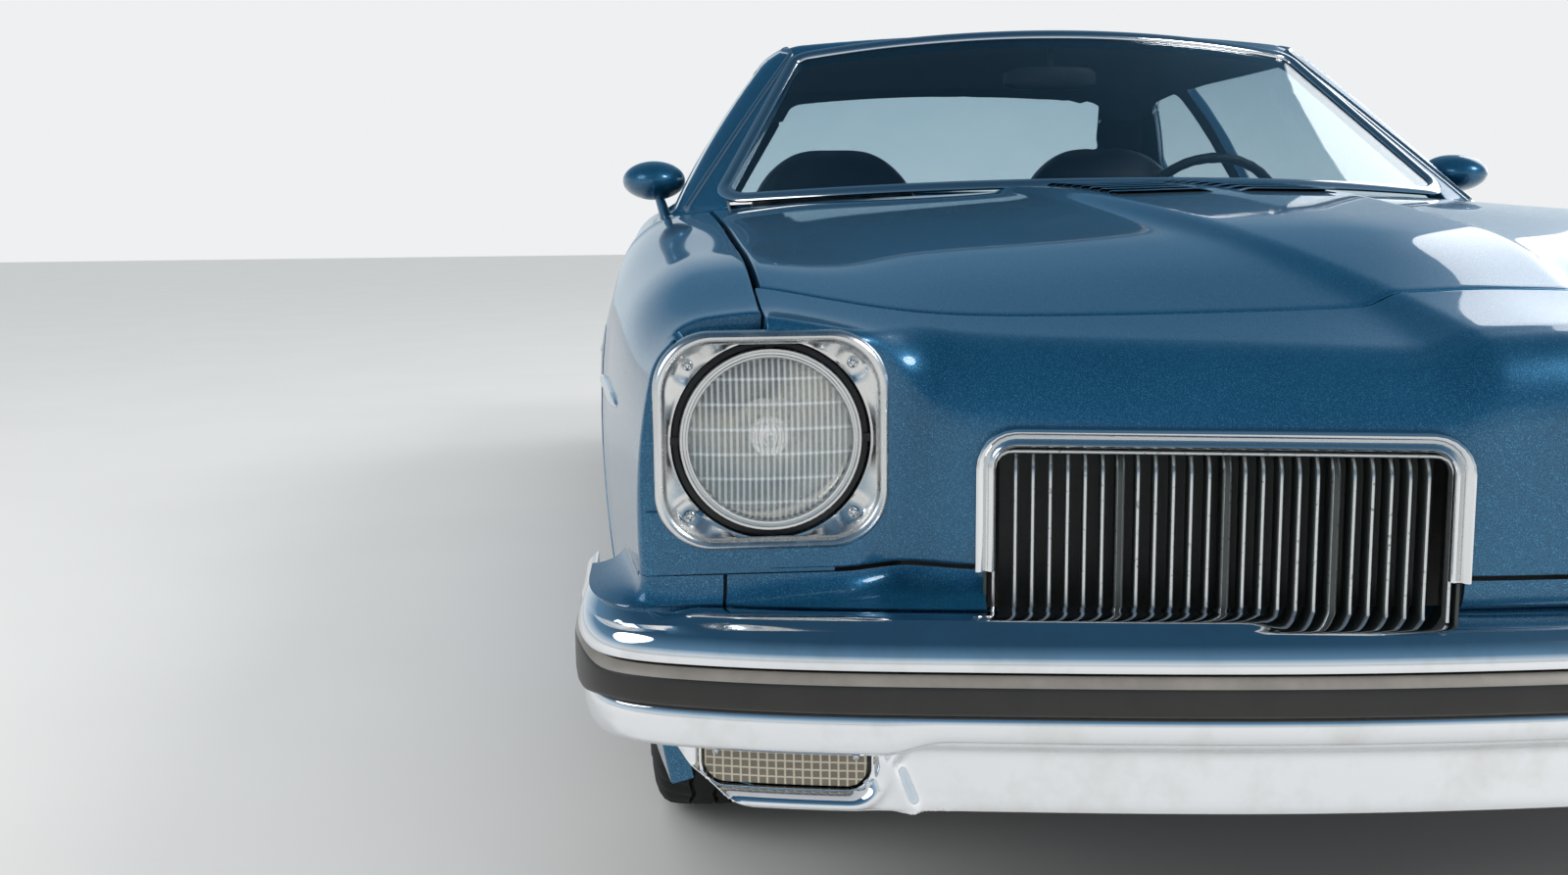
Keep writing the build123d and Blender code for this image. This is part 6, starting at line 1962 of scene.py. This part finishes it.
CAMERA_PLACE = (-0.887, -1.375 - LENGTH / 2, 0.919)
CAMERA_YAW, CAMERA_PITCH, CAMERA_ROLL = 0.0791, 0.144, -0.0103
FOCAL_PIXELS, PIXELS_WIDE = 1599.5, 1600


class CAR_OT_stage(bpy.types.Operator):
    """Set the floor, the soft lamps, the pale surroundings and the camera"""
    bl_idname = "car.stage"
    bl_label = "Stage"

    def execute(self, context):
        scene = context.scene
        scene.view_settings.view_transform = "Standard"
        camera = bpy.data.cameras.new("photo_camera")
        camera.sensor_width = 36.0
        camera.lens = 36.0 * FOCAL_PIXELS / PIXELS_WIDE
        camera.clip_start, camera.clip_end = 0.05, 300
        view = bpy.data.objects.new("photo_camera", camera)
        forward = np.array([np.sin(CAMERA_YAW) * np.cos(CAMERA_PITCH), np.cos(CAMERA_YAW) * np.cos(CAMERA_PITCH),
                            -np.sin(CAMERA_PITCH)])
        right = np.array([np.cos(CAMERA_YAW), -np.sin(CAMERA_YAW), 0])
        up = np.cross(right, forward)
        c, s = np.cos(CAMERA_ROLL), np.sin(CAMERA_ROLL)
        turn = np.column_stack([c * right + s * up, c * up - s * right, -forward, CAMERA_PLACE])
        view.matrix_world = Matrix(np.vstack([turn, [0, 0, 0, 1]]).tolist())
        scene.collection.objects.link(view)
        scene.camera = view
        for name, place, aim, size, power in (
                ("key_lamp", (5.5, -5.0, 6.0), (0, -1.5, 0.5), 3.0, 330),
                ("fill_lamp", (-6.0, -3.5, 4.0), (0, -1.0, 0.6), 4.0, 110),
                ("rear_lamp", (8.0, 6.0, 4.5), (0, 1.0, 0.8), 7.0, 260)):
            lamp = bpy.data.lights.new(name, "AREA")
            lamp.shape, lamp.size, lamp.energy = "DISK", size, power
            holder = bpy.data.objects.new(name, lamp)
            away = np.array(place, float) - np.array(aim, float)
            side = unit(np.cross([0, 0, 1.0], away))
            axes = np.column_stack([side, unit(np.cross(away, side)), unit(away), place])
            holder.matrix_world = Matrix(np.vstack([axes, [0, 0, 0, 1]]).tolist())
            scene.collection.objects.link(holder)
        surroundings()
        floor = add_mesh("studio_floor", [(-30, -27, 0), (30, -27, 0), (30, 33, 0), (-30, 33, 0)],
                         np.array([[0, 1, 2, 3]]), "floor_paint")
        return {"FINISHED"}


# The world: a pale backdrop for the eye, a sky from pale to deep blue for gloss and glass, even light elsewhere
WORLD = {
    "gloss": ("Math", "Is Camera Ray", "Is Glossy Ray", {"operation": "MAXIMUM"}),
    "shown": ("Math", "gloss", "Is Transmission Ray", {"operation": "MAXIMUM"}),
    "height": ("SeparateXYZ", "direction"),
    "low": ("MapRange", "height", 0.02, 0.30, 0.0, 1.0), "high": ("MapRange", "height", 0.25, 0.95, 0.0, 1.0),
    "horizon": ("Mix", "low", "#d9e5ec", "#668dab"), "sky": ("Mix", "high", "horizon", "#284b66"),
    "backdrop": ("Mix", "Is Camera Ray", "sky", "#eff0f1"),
    "seen": ("Background", "backdrop", 1.0), "lit": ("Background", "#f4f6f8", 0.92),
    "blend": ("MixShader", "shown", "lit", "seen"), "world": ("OutputWorld", "blend")}


def surroundings():
    """The studio's world, made from its recipe."""
    world = bpy.data.worlds.new("studio_world")
    bpy.context.scene.world = world
    world.use_nodes = True
    tree = world.node_tree
    tree.nodes.clear()
    known = {socket.name: socket for socket in add_node(tree, "ShaderNodeLightPath").outputs}
    known["direction"] = add_node(tree, "ShaderNodeTexCoord").outputs["Generated"]
    add_recipe(tree, WORLD, known)


OPERATORS = (CAR_OT_stage, CAR_OT_finishes, CAR_OT_front_panels, CAR_OT_sides, CAR_OT_top_and_tail,
             CAR_OT_bumpers, CAR_OT_grilles, CAR_OT_lamps, CAR_OT_mirrors, CAR_OT_wheels, CAR_OT_cabin)


class CAR_PT_sidebar(bpy.types.Panel):
    """Buttons for each group of pieces"""
    bl_label = "Muscle Car"
    bl_space_type = "VIEW_3D"
    bl_region_type = "UI"
    bl_category = "Car"

    def draw(self, context):
        for key in CarLook.__annotations__:
            self.layout.prop(context.scene.car_look, key)
        for made in OPERATORS:
            self.layout.operator(made.bl_idname)


def register():
    """Registers the settings, the operators and the sidebar."""
    for made in (CarLook, *OPERATORS, CAR_PT_sidebar):
        bpy.utils.register_class(made)
    bpy.types.Scene.car_look = bpy.props.PointerProperty(type=CarLook)


def unregister():
    """Takes them all out again."""
    del bpy.types.Scene.car_look
    for made in (CAR_PT_sidebar, *reversed(OPERATORS), CarLook):
        bpy.utils.unregister_class(made)


def main():
    """Runs every operator in order."""
    register()
    for made in OPERATORS:
        group, name = made.bl_idname.split(".")
        getattr(getattr(bpy.ops, group), name)()


if __name__ == "__main__":
    main()
